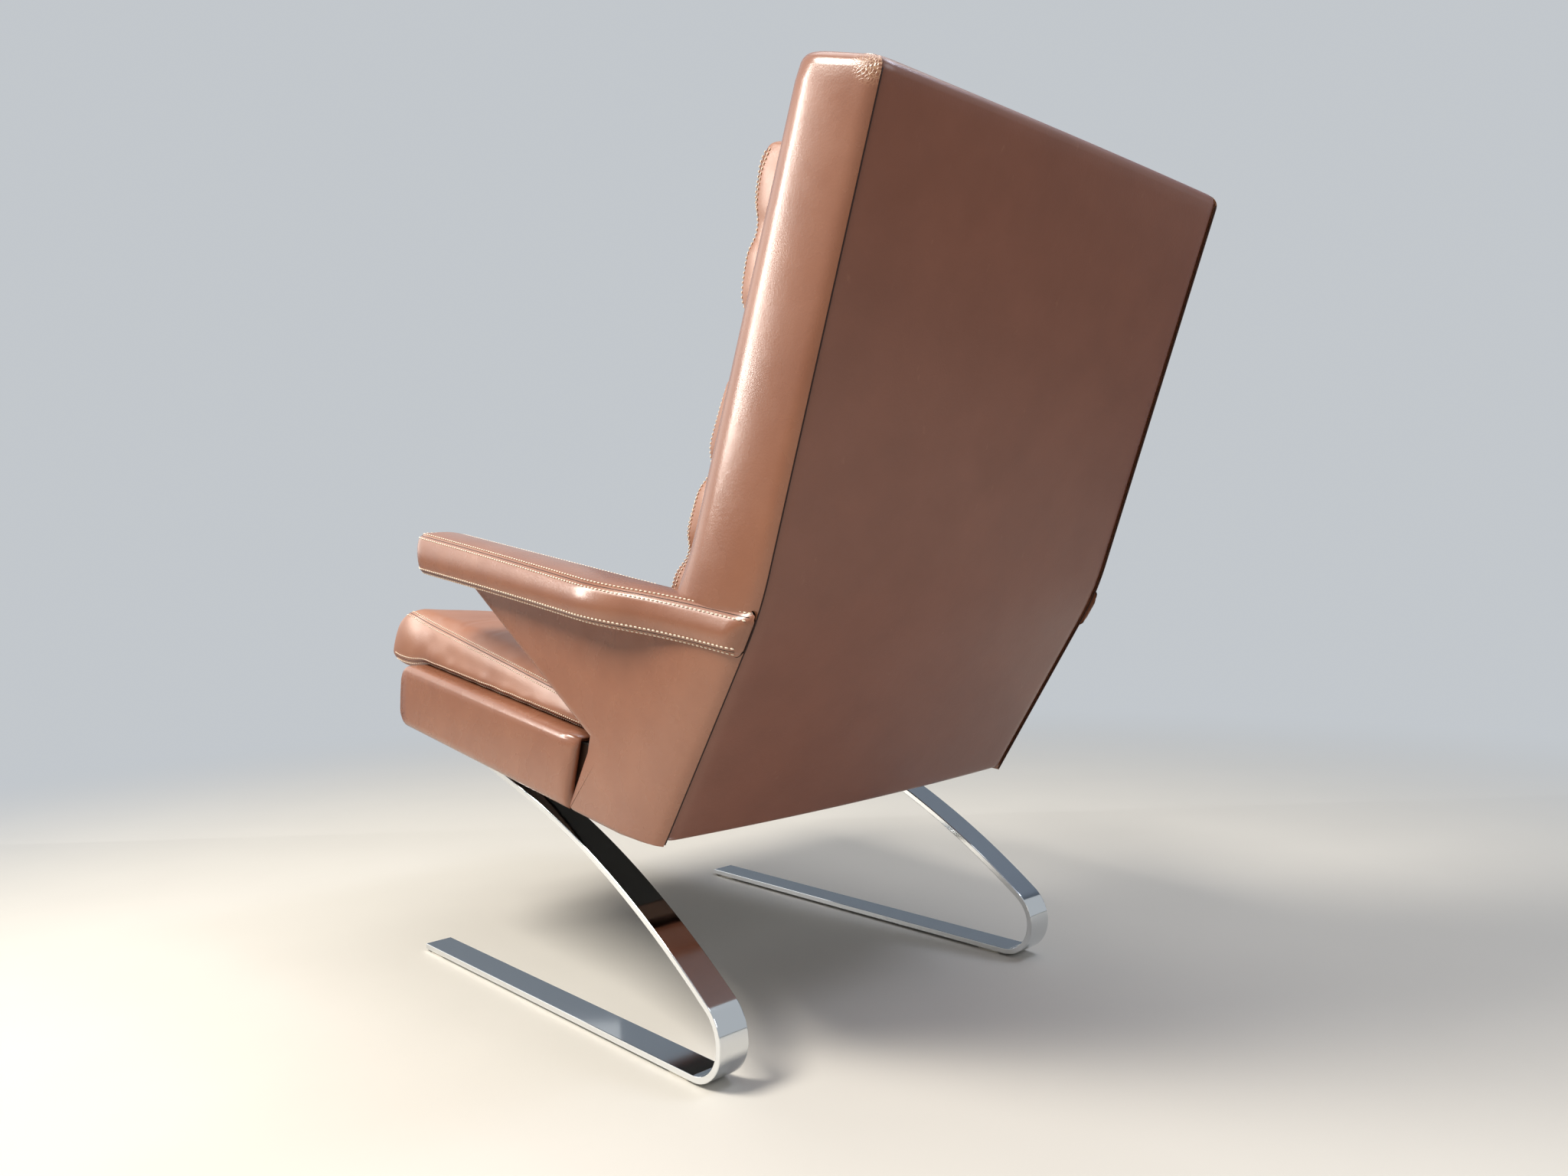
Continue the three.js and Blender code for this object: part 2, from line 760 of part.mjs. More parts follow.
// One section of the band: depth and x round its padded outline, drawn in all round at its end
function bandSection(front, inset) {
  const start = front - bandFrontRoll;
  const rear = Math.min(bandRearRoll, start);
  const outer = rollShares.map((share) => [rear * share, panelFace(rear * share, rear)]);
  const roll = Array.from({ length: bandSteps }, (_, i) => {
    const angle = (i + 1) / bandSteps * Math.PI / 2;
    return [start + bandFrontRoll * Math.sin(angle), bodyHalf - bandFrontRollWidth * (1 - Math.cos(angle))];
  });
  const inner = [
    [front, bandInner + bandInnerRadius],
    [front - bandInnerRadius, bandInner],
    [bandInnerRadius, bandInner],
    [0, bandInner + bandInnerRadius],
  ];
  const middle = [front / 2, (bodyHalf + bandInner) / 2];
  const halves = [front / 2, (bodyHalf - bandInner) / 2];
  return [...outer, ...roll, ...inner].map((point) => point.map(
    (value, k) => middle[k] + (value - middle[k]) * (1 - inset / halves[k])));
}

function band() {
  const ends = Array.from({ length: endSteps + 1 }, (_, i) => {
    const angle = i / endSteps * Math.PI / 2;
    return [upperBackLength - bandEndRadius * (1 - Math.sin(angle)), bandEndRadius * (1 - Math.cos(angle))];
  });
  const rows = [
    bandSection(bandDepthLow, 0).map(([depth, x]) => [x, ...alongBack(bandFoot, depth)]),
    bandSection(bandDepthLow, 0).map(([depth, x]) => [x, ...backBend(depth)]),
    ...ends.map(([along, inset]) => bandSection(bandDepthHigh, inset)
      .map(([depth, x]) => [x, ...alongBack(along, depth)])),
  ];
  return loft(rows, ([x, y]) => [x, y]);
}

// The space inside the outer face along the whole back, for the plate's rolled rear edge
function faceRoom() {
  const reach = 2 * lowerBackLength + upperBackLength;
  const section = [
    [0, 0],
    ...rollShares.map((share) => [bandRearRoll * share, panelFace(bandRearRoll * share)]),
    [bandRearRoll, bodyHalf + cutOverrun],
    [reach, bodyHalf + cutOverrun],
    [reach, 0],
  ];
  const rows = [
    section.map(([depth, x]) => [x, ...alongBack(-2 * lowerBackLength, depth)]),
    section.map(([depth, x]) => [x, ...alongBack(cutOverrun, depth)]),
  ];
  return loft(rows, ([x, y]) => [x, y]);
}

function panelPlate() {
  const [rearY, rearZ] = alongBack(-lowerBackLength, 0);
  const outline = [
    [rearY, rearZ],
    alongBack(panelSplit, 0),
    [wingTipDepth, wingTipHeight],
    [notchDepth, notchHeight],
    [notchDepth - notchLean, notchHeight - notchFlat],
    [plateFootDepth, plateFootHeight + plateFootRadius],
    [plateFootDepth + plateFootRadius, plateFootHeight - plateFootRadius / 4],
    [rearY - plateBottomInset, rearZ + plateBottomRise],
  ];
  return acrossX(outline, bodyHalf - plateThickness, bodyHalf, plateEdgeRadius, 2);
}

function sidePanel() {
  const plate = meet(panelPlate(), faceRoom());
  const armRoom = cut(armPad(gap), armCore(0));
  const holes = panelBoltDepths.map((depth) => panelBoltHole(depth, panelBoltReach + boltClearance));
  return cut(join(plate, band()), rebate(), armRoom, ...holes);
}

// Back panel: padded, gently crowned, with lips that close the back above and below
function backPanelLipBlock(low, high) {
  return acrossX([
    alongBack(low, backPanelThickness / 2),
    alongBack(high, backPanelThickness / 2),
    alongBack(high, backPanelLip),
    alongBack(low, backPanelLip),
  ], gap - bandInner, bandInner - gap);
}

function backPanel() {
  const r = backPanelEdgeRadius;
  const outline = (rear) => [
    ...arcShares.map((share) => alongBack(
      -lowerBackLength + r * (1 - Math.cos(share * Math.PI / 2)),
      rear + r * (1 - Math.sin(share * Math.PI / 2)),
    )),
    backBend(rear),
    ...arcShares.map((share) => alongBack(
      upperBackLength - r * (1 - Math.sin(share * Math.PI / 2)),
      rear + r * (1 - Math.cos(share * Math.PI / 2)),
    )),
    alongBack(upperBackLength, backPanelThickness),
    backBend(backPanelThickness),
    alongBack(-lowerBackLength, backPanelThickness),
  ];
  const halfShares = [0, 0.28, 0.55, 0.8, 0.984, 0.993, 0.998, 1];
  const shares = [...halfShares.slice(1).map((share) => -share).reverse(), ...halfShares];
  const rings = shares.map((share) => {
    const side = backPanelSideRadius;
    const inset = Math.min(side, Math.max(0, side - backPanelHalf * (1 - Math.abs(share))));
    const roundOff = side - Math.sqrt(side * side - inset * inset);
    const rear = roundOff - backPanelCrown * bump(share, 2);
    return outline(rear).map(([y, z]) => [share * backPanelHalf, y, z]);
  });
  const panel = loft(rings, ([, y, z]) => [y, z]);
  const lip = backPanelLipThickness;
  return join(
    panel,
    backPanelLipBlock(upperBackLength - lip, upperBackLength),
    backPanelLipBlock(-lowerBackLength, lip - lowerBackLength),
  );
}

// Frame behind the cushions: two stiles, two rails and a slotted webbing
const stileOuter = bandInner - gap;
const stileRear = backPanelThickness + gap;
const stileFront = stileRear + stileThickness;
const stileHigh = upperBackLength - backPanelLipThickness - stileTopGap;
const stileLow = backPanelLipThickness + stileFootGap - lowerBackLength;

function stile() {
  return acrossX(backStrip(stileLow, stileHigh, stileRear, stileFront), stileOuter - stileWidth, stileOuter);
}

function backRail(low) {
  const half = stileOuter - stileWidth - gap;
  return acrossX([
    alongBack(low, stileRear),
    alongBack(low + backRailHeight, stileRear),
    alongBack(low + backRailHeight, stileFront),
    alongBack(low, stileFront),
  ], -half, half);
}

const backWebbingRear = stileFront + gap;
const backWebbingFront = backWebbingRear + webbingThickness;
const backWebbingLow = stileLow + backWebbingInset;
const backWebbingHigh = stileHigh - backWebbingInset;

function backWebbing() {
  const outline = backStrip(backWebbingLow, backWebbingHigh, backWebbingRear, backWebbingFront);
  return slottedSheet(outline, alongBack, backWebbingLow, backWebbingHigh,
    backWebbingRear, backWebbingFront, stileOuter - stileWidth / 2, backSlots);
}

// Loose cushions on the back: rounded sections up the back, drawn in at each sewn channel
const cushionHalf = bandInner - cushionSideGap;
const bendTurn = lowerRecline - upperRecline;
const cushionRear = backWebbingFront + gap;
const headCushionTop = upperBackLength - headCushionInset;
const headCushionLow = headCushionTop - headCushionHeight;
const backCushionTop = headCushionLow - headCushionGap;

function channelDip(share, channelShares, stretch) {
  return Math.max(...channelShares.map((line) => Math.max(0, 1 - Math.abs(share - line) / stretch)));
}

function cushion(low, high, depthLow, depthHigh, channelShares, channelDepth, rowShares) {
  const length = high - low;
  const endShare = cushionEndRadius / length;
  const stretch = cushionEndRadius / length;
  const edgeRows = [0, 0.07, 0.28, 0.62, 1].map((share) => share * endShare);
  const dipRows = channelShares.flatMap((line) => [-1, -0.45, 0, 0.45, 1].map((k) => line + k * stretch));
  const rows = [...edgeRows, ...dipRows, ...rowShares, ...edgeRows.map((share) => 1 - share)]
    .sort((a, b) => a - b);
  const rings = rows.map((share) => {
    const along = mix(low, high, share);
    const edge = Math.min(1, Math.min(share, 1 - share) / endShare);
    const round = 1 - Math.sqrt(1 - (1 - edge) ** 2);
    const dip = channelDip(share, channelShares, stretch) ** 1.5;
    const front = mix(depthLow, depthHigh, share) - cushionEndRadius * round - channelDepth * dip;
    const backFace = Math.max(cushionRear, cushionRear / Math.cos(bendTurn) - along * Math.tan(bendTurn));
    const rear = backFace + cushionEndRadius * round * cushionBackEaseShare;
    const halfWidth = cushionHalf - cushionSideEase * (round + dip);
    const halfDepth = (front - rear) / 2;
    const ring = roundedRing(halfWidth, halfDepth, cushionEdgeRadius, cornerSteps, sideSteps);
    return ring.map(([x, d]) => {
      const crown = d > 0 ? cushionCrown * bump(x / halfWidth, 2) : 0;
      const [y, z] = alongCushion(along, (front + rear) / 2 + d + crown);
      return [x, y, z];
    });
  });
  return loft(rings, ([x, , z]) => [x, z]);
}

// Seat cushion: sections set from its nose, which hangs over the box's front, to its thin rear
const seatCushionFront = seatBoxFront - seatCushionOverhang;

function seatCushion() {
  const length = seatCushionRear - seatCushionFront;
  const noseShares = [0, 0.04, 0.13, 0.27, 0.45, 0.7, 1];
  const sagShares = [0.25, 0.5, 0.75, 1];
  const bodyShares = [0.22, 0.32, 0.43, 0.54, 0.65, 0.76, 0.87];
  const tailShares = [0, 0.3, 0.65, 0.9, 1];
  const sagStart = seatBoxFront - seatBoxEdgeRadius / 2;
  const sagEnd = seatBoxFront + seatBoxEdgeRadius * 2 / 3;
  const rows = [
    ...noseShares.map((share) => seatCushionFront + seatCushionNose * share),
    ...sagShares.map((share) => mix(sagStart, sagEnd, share)),
    ...bodyShares.map((share) => seatCushionFront + length * share),
    ...tailShares.map((share) => seatCushionRear - seatCushionTail * (1 - share)),
  ];
  const half = seatCushionWidth / 2;
  const rings = rows.map((depth) => {
    const share = (depth - seatCushionFront) / length;
    const nose = 1 - Math.min(1, (depth - seatCushionFront) / seatCushionNose);
    const tail = 1 - Math.min(1, (seatCushionRear - depth) / seatCushionTail);
    const fullTop = Math.sqrt(1 - nose ** 2 * (1 - seatCushionTipShare ** 2));
    const fullTail = Math.sqrt(1 - tail ** 2 * (1 - seatCushionTipShare ** 2));
    const sag = seatCushionSag * Math.min(1, Math.max(0, (sagEnd - depth) / (sagEnd - sagStart)));
    const base = coverTop + gap - sag;
    const tip = coverTop;
    const height = mix(seatCushionFrontHeight, seatCushionRearHeight, share);
    const top = tip + height * fullTop - height * (1 - fullTail) / 2;
    const bottom = mix(tip - seatCushionSag * seatCushionTipShare, base, nose > 0 ? fullTop : 1)
      + height * (1 - fullTail) / 2;
    const halfHeight = (top - bottom) / 2;
    const full = Math.min(fullTop, fullTail);
    const halfWidth = half - seatCushionNose * (1 - full) * seatCushionCornerShare;
    const edgeRadius = seatCushionEdgeRadius * full;
    const ring = roundedRing(halfWidth, halfHeight, edgeRadius, cornerSteps, sideSteps);
    return ring.map(([x, h]) => {
      const across = bump(x / halfWidth, 2);
      const pinch = seatCushionDrawIn * bump(h / halfHeight, 2) * Math.abs(x / halfWidth);
      const rise = seatCushionCrown * Math.sin(Math.PI * share) - seatCushionFrontDip * (1 - share) ** 4;
      const crown = h > 0 ? across * rise * fullTop : 0;
      const [y, z] = alongSeat(depth, (top + bottom) / 2 + h + crown);
      return [x + Math.sign(x) * pinch, y, z];
    });
  });
  return loft(rings, ([x, , z]) => [x, z]);
}

// Assembly
for (const [label, side] of sides) {
  addPiece(`${label}_skid`, onSide(skid(), side), steel);
  addPiece(`${label}_front_glide`, onSide(glide(glideTipInset), side), glidePlastic);
  addPiece(`${label}_rear_glide`, onSide(glide(heelGlideFront), side), glidePlastic);
  addPiece(`${label}_mount_plate`, onSide(mountPlate(), side), zinc);
  boltDepths.forEach((depth, i) => {
    addPiece(`${label}_${['front', 'rear'][i]}_bolt`, onSide(bolt(depth), side), zinc);
  });
  panelBoltDepths.forEach((depth, i) => {
    addPiece(`${label}_${['front', 'rear'][i]}_panel_bolt`, onSide(panelBolt(depth), side), zinc);
  });
  addPiece(`${label}_seat_rail`, onSide(sideRail(), side), wood);
  addPiece(`${label}_side_panel`, onSide(sidePanel(), side), leather);
  addPiece(`${label}_armrest`, onSide(armrest(), side), leather);
  addPiece(`${label}_back_stile`, onSide(stile(), side), wood);
}
addPiece('front_seat_rail', crossRail(railFront, boxBase), wood);
addPiece('rear_seat_rail', crossRail(railRearReach - crossRailThickness, railRearLow), wood);
addPiece('seat_webbing', seatWebbing(), webbing);
addPiece('seat_box_cover', seatCover(), leather);
addPiece('dust_cover', dustCover(), cloth);
addPiece('seat_cushion', seatCushion(), leather);
addPiece('back_panel', backPanel(), leatherShade);
addPiece('top_back_rail', backRail(stileHigh - backRailHeight), wood);
addPiece('bottom_back_rail', backRail(stileLow), wood);
addPiece('back_webbing', backWebbing(), webbing);
addPiece('back_cushion', cushion(
  backCushionLow, backCushionTop, backCushionDepthLow, backCushionDepthHigh,
  backChannelShares, backChannelDepth, backRowShares), leather);
addPiece('head_cushion', cushion(
  headCushionLow, headCushionTop, headCushionDepthLow, headCushionDepthHigh,
  [headCreaseShare], headCreaseDepth, headRowShares), leather);

// Origin: on the floor, under the middle of the whole chair
const bounds = new THREE.Box3();
for (const { geometry } of pieces) {
  geometry.computeBoundingBox();
  bounds.union(geometry.boundingBox);
}
const middleDepth = (bounds.min.y + bounds.max.y) / 2;

const group = new THREE.Group();
for (const { name, geometry, finish } of pieces) {
  const mesh = new THREE.Mesh(geometry, new THREE.MeshStandardMaterial(finish));
  mesh.name = name;
  mesh.position.set(0, -middleDepth, -bounds.min.z);
  group.add(mesh);
}

export default group;
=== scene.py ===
"""Looks of the cantilever lounge chair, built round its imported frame."""

import logging
import math
from collections.abc import Callable, Iterable, Sequence
from dataclasses import dataclass, field
from enum import Enum
from functools import partial

import bmesh
import bpy
import numpy as np
from mathutils import Matrix, Vector
from mathutils.bvhtree import BVHTree


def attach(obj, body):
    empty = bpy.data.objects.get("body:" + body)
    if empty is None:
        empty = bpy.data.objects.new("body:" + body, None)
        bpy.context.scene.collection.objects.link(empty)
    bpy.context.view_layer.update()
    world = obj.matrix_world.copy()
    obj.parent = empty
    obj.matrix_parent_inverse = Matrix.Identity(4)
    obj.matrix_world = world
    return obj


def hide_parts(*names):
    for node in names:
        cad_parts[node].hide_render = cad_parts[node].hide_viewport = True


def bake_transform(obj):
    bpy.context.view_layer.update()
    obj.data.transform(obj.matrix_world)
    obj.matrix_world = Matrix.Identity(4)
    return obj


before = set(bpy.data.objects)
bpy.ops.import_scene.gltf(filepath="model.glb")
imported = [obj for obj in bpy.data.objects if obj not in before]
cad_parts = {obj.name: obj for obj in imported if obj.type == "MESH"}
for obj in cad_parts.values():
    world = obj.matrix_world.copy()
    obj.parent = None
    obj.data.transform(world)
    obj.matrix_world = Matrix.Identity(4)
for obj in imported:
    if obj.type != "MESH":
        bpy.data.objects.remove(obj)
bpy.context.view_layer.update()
log = logging.getLogger("lounge_chair")

MM = 0.001
FRONT_SHIFT = 425.807

Material = bpy.types.Material
Socket = bpy.types.NodeSocket
Thing = bpy.types.Object
Mesh = bpy.types.Mesh
BMesh = bmesh.types.BMesh
BMVert = bmesh.types.BMVert
BMEdge = bmesh.types.BMEdge
Spot = tuple[float, float]
Colour = tuple[float, float, float, float]
Row = list[tuple[Vector, Vector]]


class Side(Enum):
    """The two sides of the chair, as the sitter has them."""

    LEFT = 1
    RIGHT = -1

    @property
    def label(self) -> str:
        """The word that the frame's nodes start with."""
        return self.name.lower()


def linear(colour: str) -> Colour:
    """Turns an sRGB hex colour to linear red, green, blue and alpha."""
    parts = [int(colour[i : i + 2], 16) / 255 for i in (1, 3, 5)]
    return (*[c / 12.92 if c <= 0.04045 else ((c + 0.055) / 1.055) ** 2.4 for c in parts], 1.0)


def add_node(
    owner: Material | bpy.types.World,
    kind: str,
    settings: dict[str | int, object] | None = None,
    links: dict[str | int, Socket] | None = None,
) -> bpy.types.Node:
    """Adds one shader node.

    Args:
        owner: The material or world whose tree gets the node.
        kind: Blender's name of the node type, without its first part.
        settings: Values of the node's inputs or of its own properties.
        links: Output sockets to join to the node's inputs.

    Returns:
        The new node.
    """
    node = owner.node_tree.nodes.new(f"ShaderNode{kind}")
    for key, value in (settings or {}).items():
        if isinstance(key, int) or key in node.inputs:
            node.inputs[key].default_value = value
        else:
            setattr(node, key, value)
    join(owner, node, links or {})
    return node


def join(owner: Material | bpy.types.World, node: bpy.types.Node, links: dict[str | int, Socket]) -> None:
    """Joins output sockets to a node's inputs."""
    for key, source in links.items():
        owner.node_tree.links.new(source, node.inputs[key])


def object_place(owner: Material) -> Socket:
    """The object coordinates of the shaded point."""
    return add_node(owner, "TexCoord").outputs["Object"]


def noise(owner: Material, place: Socket, size: float, detail: float = 2.0, roughness: float = 0.5) -> Socket:
    """Soft noise with clouds of one size."""
    settings = {"Scale": 1 / size, "Detail": detail, "Roughness": roughness}
    return add_node(owner, "TexNoise", settings, {"Vector": place}).outputs["Fac"]


def ramp(owner: Material, value: Socket, start: Spot, to: Spot = (0.0, 1.0), kind: str = "LINEAR") -> Socket:
    """Maps a value from one range to another, and holds it there."""
    settings = {"interpolation_type": kind, "From Min": start[0], "From Max": start[1]}
    settings |= {"To Min": to[0], "To Max": to[1]}
    return add_node(owner, "MapRange", settings, {"Value": value}).outputs["Result"]


def blended(owner: Material, share: Socket, low: Socket | Colour, high: Colour) -> Socket:
    """Mixes two colours by a share."""
    settings, links = {"data_type": "RGBA", 7: high}, {0: share}
    (links if isinstance(low, Socket) else settings)[6] = low
    return add_node(owner, "Mix", settings, links).outputs[2]


def bumped(
    owner: Material, height: Socket, distance: float, normal: Socket | None = None, invert: bool = False
) -> Socket:
    """Tilts the normal by a height pattern."""
    links = {"Height": height} | ({"Normal": normal} if normal else {})
    settings = {"Strength": 1.0, "Distance": distance, "invert": invert}
    return add_node(owner, "Bump", settings, links).outputs["Normal"]


def maths(owner: Material | bpy.types.World, operation: str, first: Socket, second: Socket) -> Socket:
    """Joins two values by one operation."""
    return add_node(owner, "Math", {"operation": operation}, {0: first, 1: second}).outputs["Value"]


def bare_material(name: str) -> tuple[Material, bpy.types.Node]:
    """Makes a material with one shader on its output, and returns both."""
    material = bpy.data.materials.new(name)
    material.use_nodes = True
    material.node_tree.nodes.clear()
    shader = add_node(material, "BsdfPrincipled")
    add_node(material, "OutputMaterial", links={"Surface": shader.outputs["BSDF"]})
    return material, shader


@dataclass(frozen=True)
class Cowhide:
    """Pigmented cowhide, plated smooth: clouded colour, a soft shine, a fine grain and faint wear."""

    name: str = "cowhide_pigmented_plated"
    deep: str = "#85543e"
    light: str = "#9b684e"
    worn: str = "#c39a7a"
    roughness: float = 0.27
    gloss_spread: float = 0.025
    polish: float = 0.28
    polish_roughness: float = 0.22
    touch: float = 45 * MM
    scuff: float = 9 * MM
    scuff_share: float = 0.12
    scuff_range: Spot = (0.66, 0.78)
    scuff_turn: tuple[float, float, float] = (0.5, 0.2, 0.4)
    scuff_stretch: tuple[float, float, float] = (1.0, 1.0, 0.16)
    cloud: float = 70 * MM
    grain: float = 2.2 * MM
    grain_height: float = 0.05 * MM
    handle: float = 14 * MM
    handle_height: float = 0.15 * MM
    worn_spots: tuple[tuple[float, float, float], ...] = ()
    worn_reach: float = 26 * MM
    worn_core: float = 0.3
    crackle: float = 3.2 * MM
    crackle_width: float = 0.22
    crackle_height: float = 0.4 * MM

    def make(self) -> Material:
        """Builds the hide's material."""
        material, shader = bare_material(self.name)
        place = object_place(material)
        cloud = noise(material, place, self.cloud, 4.0)
        colour = blended(material, cloud, linear(self.deep), linear(self.light))
        soft = bumped(material, noise(material, place, self.handle), self.handle_height)
        grain = add_node(material, "TexVoronoi", {"Scale": 1 / self.grain}, {"Vector": place})
        normal = bumped(material, grain.outputs["Distance"], self.grain_height, soft)
        spread = (self.roughness - self.gloss_spread, self.roughness + self.gloss_spread)
        gloss = ramp(material, noise(material, place, self.touch, 3.0), (0.3, 0.7), spread)
        turned = {"Rotation": self.scuff_turn, "Scale": self.scuff_stretch}
        stretched = add_node(material, "Mapping", turned, {"Vector": place}).outputs["Vector"]
        marks = noise(material, stretched, self.scuff, 5.0, 0.65)
        share = ramp(material, marks, self.scuff_range, (0.0, self.scuff_share))
        colour = blended(material, share, colour, linear(self.worn))
        for spot in self.worn_spots:
            colour, normal = self._wear(material, place, spot, colour, normal)
        join(material, shader, {"Base Color": colour, "Normal": normal, "Roughness": gloss})
        shader.inputs["IOR"].default_value = 1.5
        shader.inputs["Coat Weight"].default_value = self.polish
        shader.inputs["Coat Roughness"].default_value = self.polish_roughness
        return material

    def _wear(
        self,
        material: Material,
        place: Socket,
        spot: tuple[float, float, float],
        colour: Socket,
        normal: Socket,
    ) -> tuple[Socket, Socket]:
        """Lays a crackled patch round one spot, where the finish has worn through.

        Args:
            material: The hide's material.
            place: Object coordinates.
            spot: The patch's middle in metres.
            colour: The colour so far.
            normal: The normal so far.

        Returns:
            The new colour and normal.
        """
        away = add_node(material, "VectorMath", {"operation": "DISTANCE", 1: spot}, {0: place})
        near = ramp(material, away.outputs["Value"], (self.worn_reach, self.worn_reach * self.worn_core))
        cells = {"feature": "DISTANCE_TO_EDGE", "Scale": 1 / self.crackle}
        crackle = add_node(material, "TexVoronoi", cells, {"Vector": place})
        lines = ramp(material, crackle.outputs["Distance"], (self.crackle_width, 0.0))
        amount = maths(material, "MULTIPLY", near, lines)
        mixed = blended(material, amount, colour, linear(self.worn))
        return mixed, bumped(material, amount, self.crackle_height, normal, invert=True)


@dataclass(frozen=True)
class PlainFinish:
    """A finish with one colour and one roughness, with at most a slight unevenness."""

    name: str
    colour: str
    roughness: float
    metallic: float = 0.0
    mottle: float = 0.0
    mottle_size: float = 20 * MM
    texture_height: float = 0.0
    texture_size: float = 1 * MM

    def make(self) -> Material:
        """Builds the finish, with clouds and a height pattern where it has them."""
        material, shader = bare_material(self.name)
        base = linear(self.colour)
        shader.inputs["Base Color"].default_value = base
        shader.inputs["Roughness"].default_value = self.roughness
        shader.inputs["Metallic"].default_value = self.metallic
        if self.mottle > 0:
            cloud = noise(material, object_place(material), self.mottle_size, 3.0)
            dark = (*[c * (1 - self.mottle) for c in base[:3]], 1.0)
            join(material, shader, {"Base Color": blended(material, cloud, dark, base)})
        if self.texture_height > 0:
            rough = noise(material, object_place(material), self.texture_size)
            join(material, shader, {"Normal": bumped(material, rough, self.texture_height)})
        return material


# The back's hide: the same cowhide, a little duller, in darker colours that paint in the shade on the back
SHADED_BACK_HIDE = Cowhide("cowhide_back_painted_shade", "#734533", "#855340", roughness=0.33, polish=0.2)
# The cushions' hide: the same cowhide, softer and with little polish, in lighter colours that paint in light
# on the cushions
LIT_CUSHION_HIDE = Cowhide(
    "cowhide_cushion_painted_light",
    "#8c5a43",
    "#a47053",
    roughness=0.37,
    polish=0.1,
    polish_roughness=0.3,
    handle_height=0.1 * MM,
)
# Hard chrome on polished spring steel: a mirror, barely softened by fine wear
CHROME = PlainFinish("chrome_plated_spring_steel", "#d9dcde", 0.07, 1.0)
# Zinc-plated mild steel: grey and satin
ZINC = PlainFinish("zinc_plated_steel", "#b4b8ba", 0.38, 1.0)
# Moulded polyethylene: waxy, off-white, matt
GLIDE_PLASTIC = PlainFinish("moulded_polyethylene", "#e2ddd0", 0.55)
# Beech under a dark spirit stain: brown, dry and unvarnished
BEECH = PlainFinish("stained_beech", "#4b3325", 0.7, mottle=0.25, mottle_size=30 * MM)
# Woven rubber webbing: dark, matt and ribbed
WEBBING = PlainFinish("woven_rubber_webbing", "#3a3632", 0.9, texture_height=0.4 * MM, texture_size=3 * MM)
# Spun-bonded polypropylene cloth: black, dull and slightly fuzzy
DUST_CLOTH = PlainFinish(
    "spunbond_polypropylene", "#1f1e1d", 0.95, texture_height=0.2 * MM, texture_size=2 * MM
)
# Bonded polyester thread: pale cream with a slight shine
THREAD = PlainFinish("bonded_polyester_thread", "#f7e8d2", 0.5)
# Matt emulsion on a studio card: dark blue-grey and without shine
CARD_PAINT = PlainFinish("matt_emulsion", "#717c89", 0.9)
# Painted shade for the seams: a near-black brown strip along each seam line that stands in for the shade in
# its groove
SEAM_SHADE = PlainFinish("painted_seam_shade", "#2e170f", 0.85)
# Power-floated concrete: pale, dry and barely clouded
CONCRETE = PlainFinish("power_floated_concrete", "#d9d5cc", 0.6, mottle=0.06, mottle_size=0.25)


def upright(lean: float) -> Vector:
    """The direction square to a slope in the side view, up and back."""
    return Vector((0, math.sin(lean), math.cos(lean)))


def forward(lean: float) -> Vector:
    """The direction along a slope in the side view, forward and up."""
    return Vector((0, -math.cos(lean), math.sin(lean)))


def quarter(steps: int, first: int = 0) -> list[Spot]:
    """How far each step of a quarter turn still has to go and has come, as shares of its radius."""
    turns = [math.pi / 2 * i / steps for i in range(first, steps + 1)]
    return [(1 - math.sin(a), 1 - math.cos(a)) for a in turns]


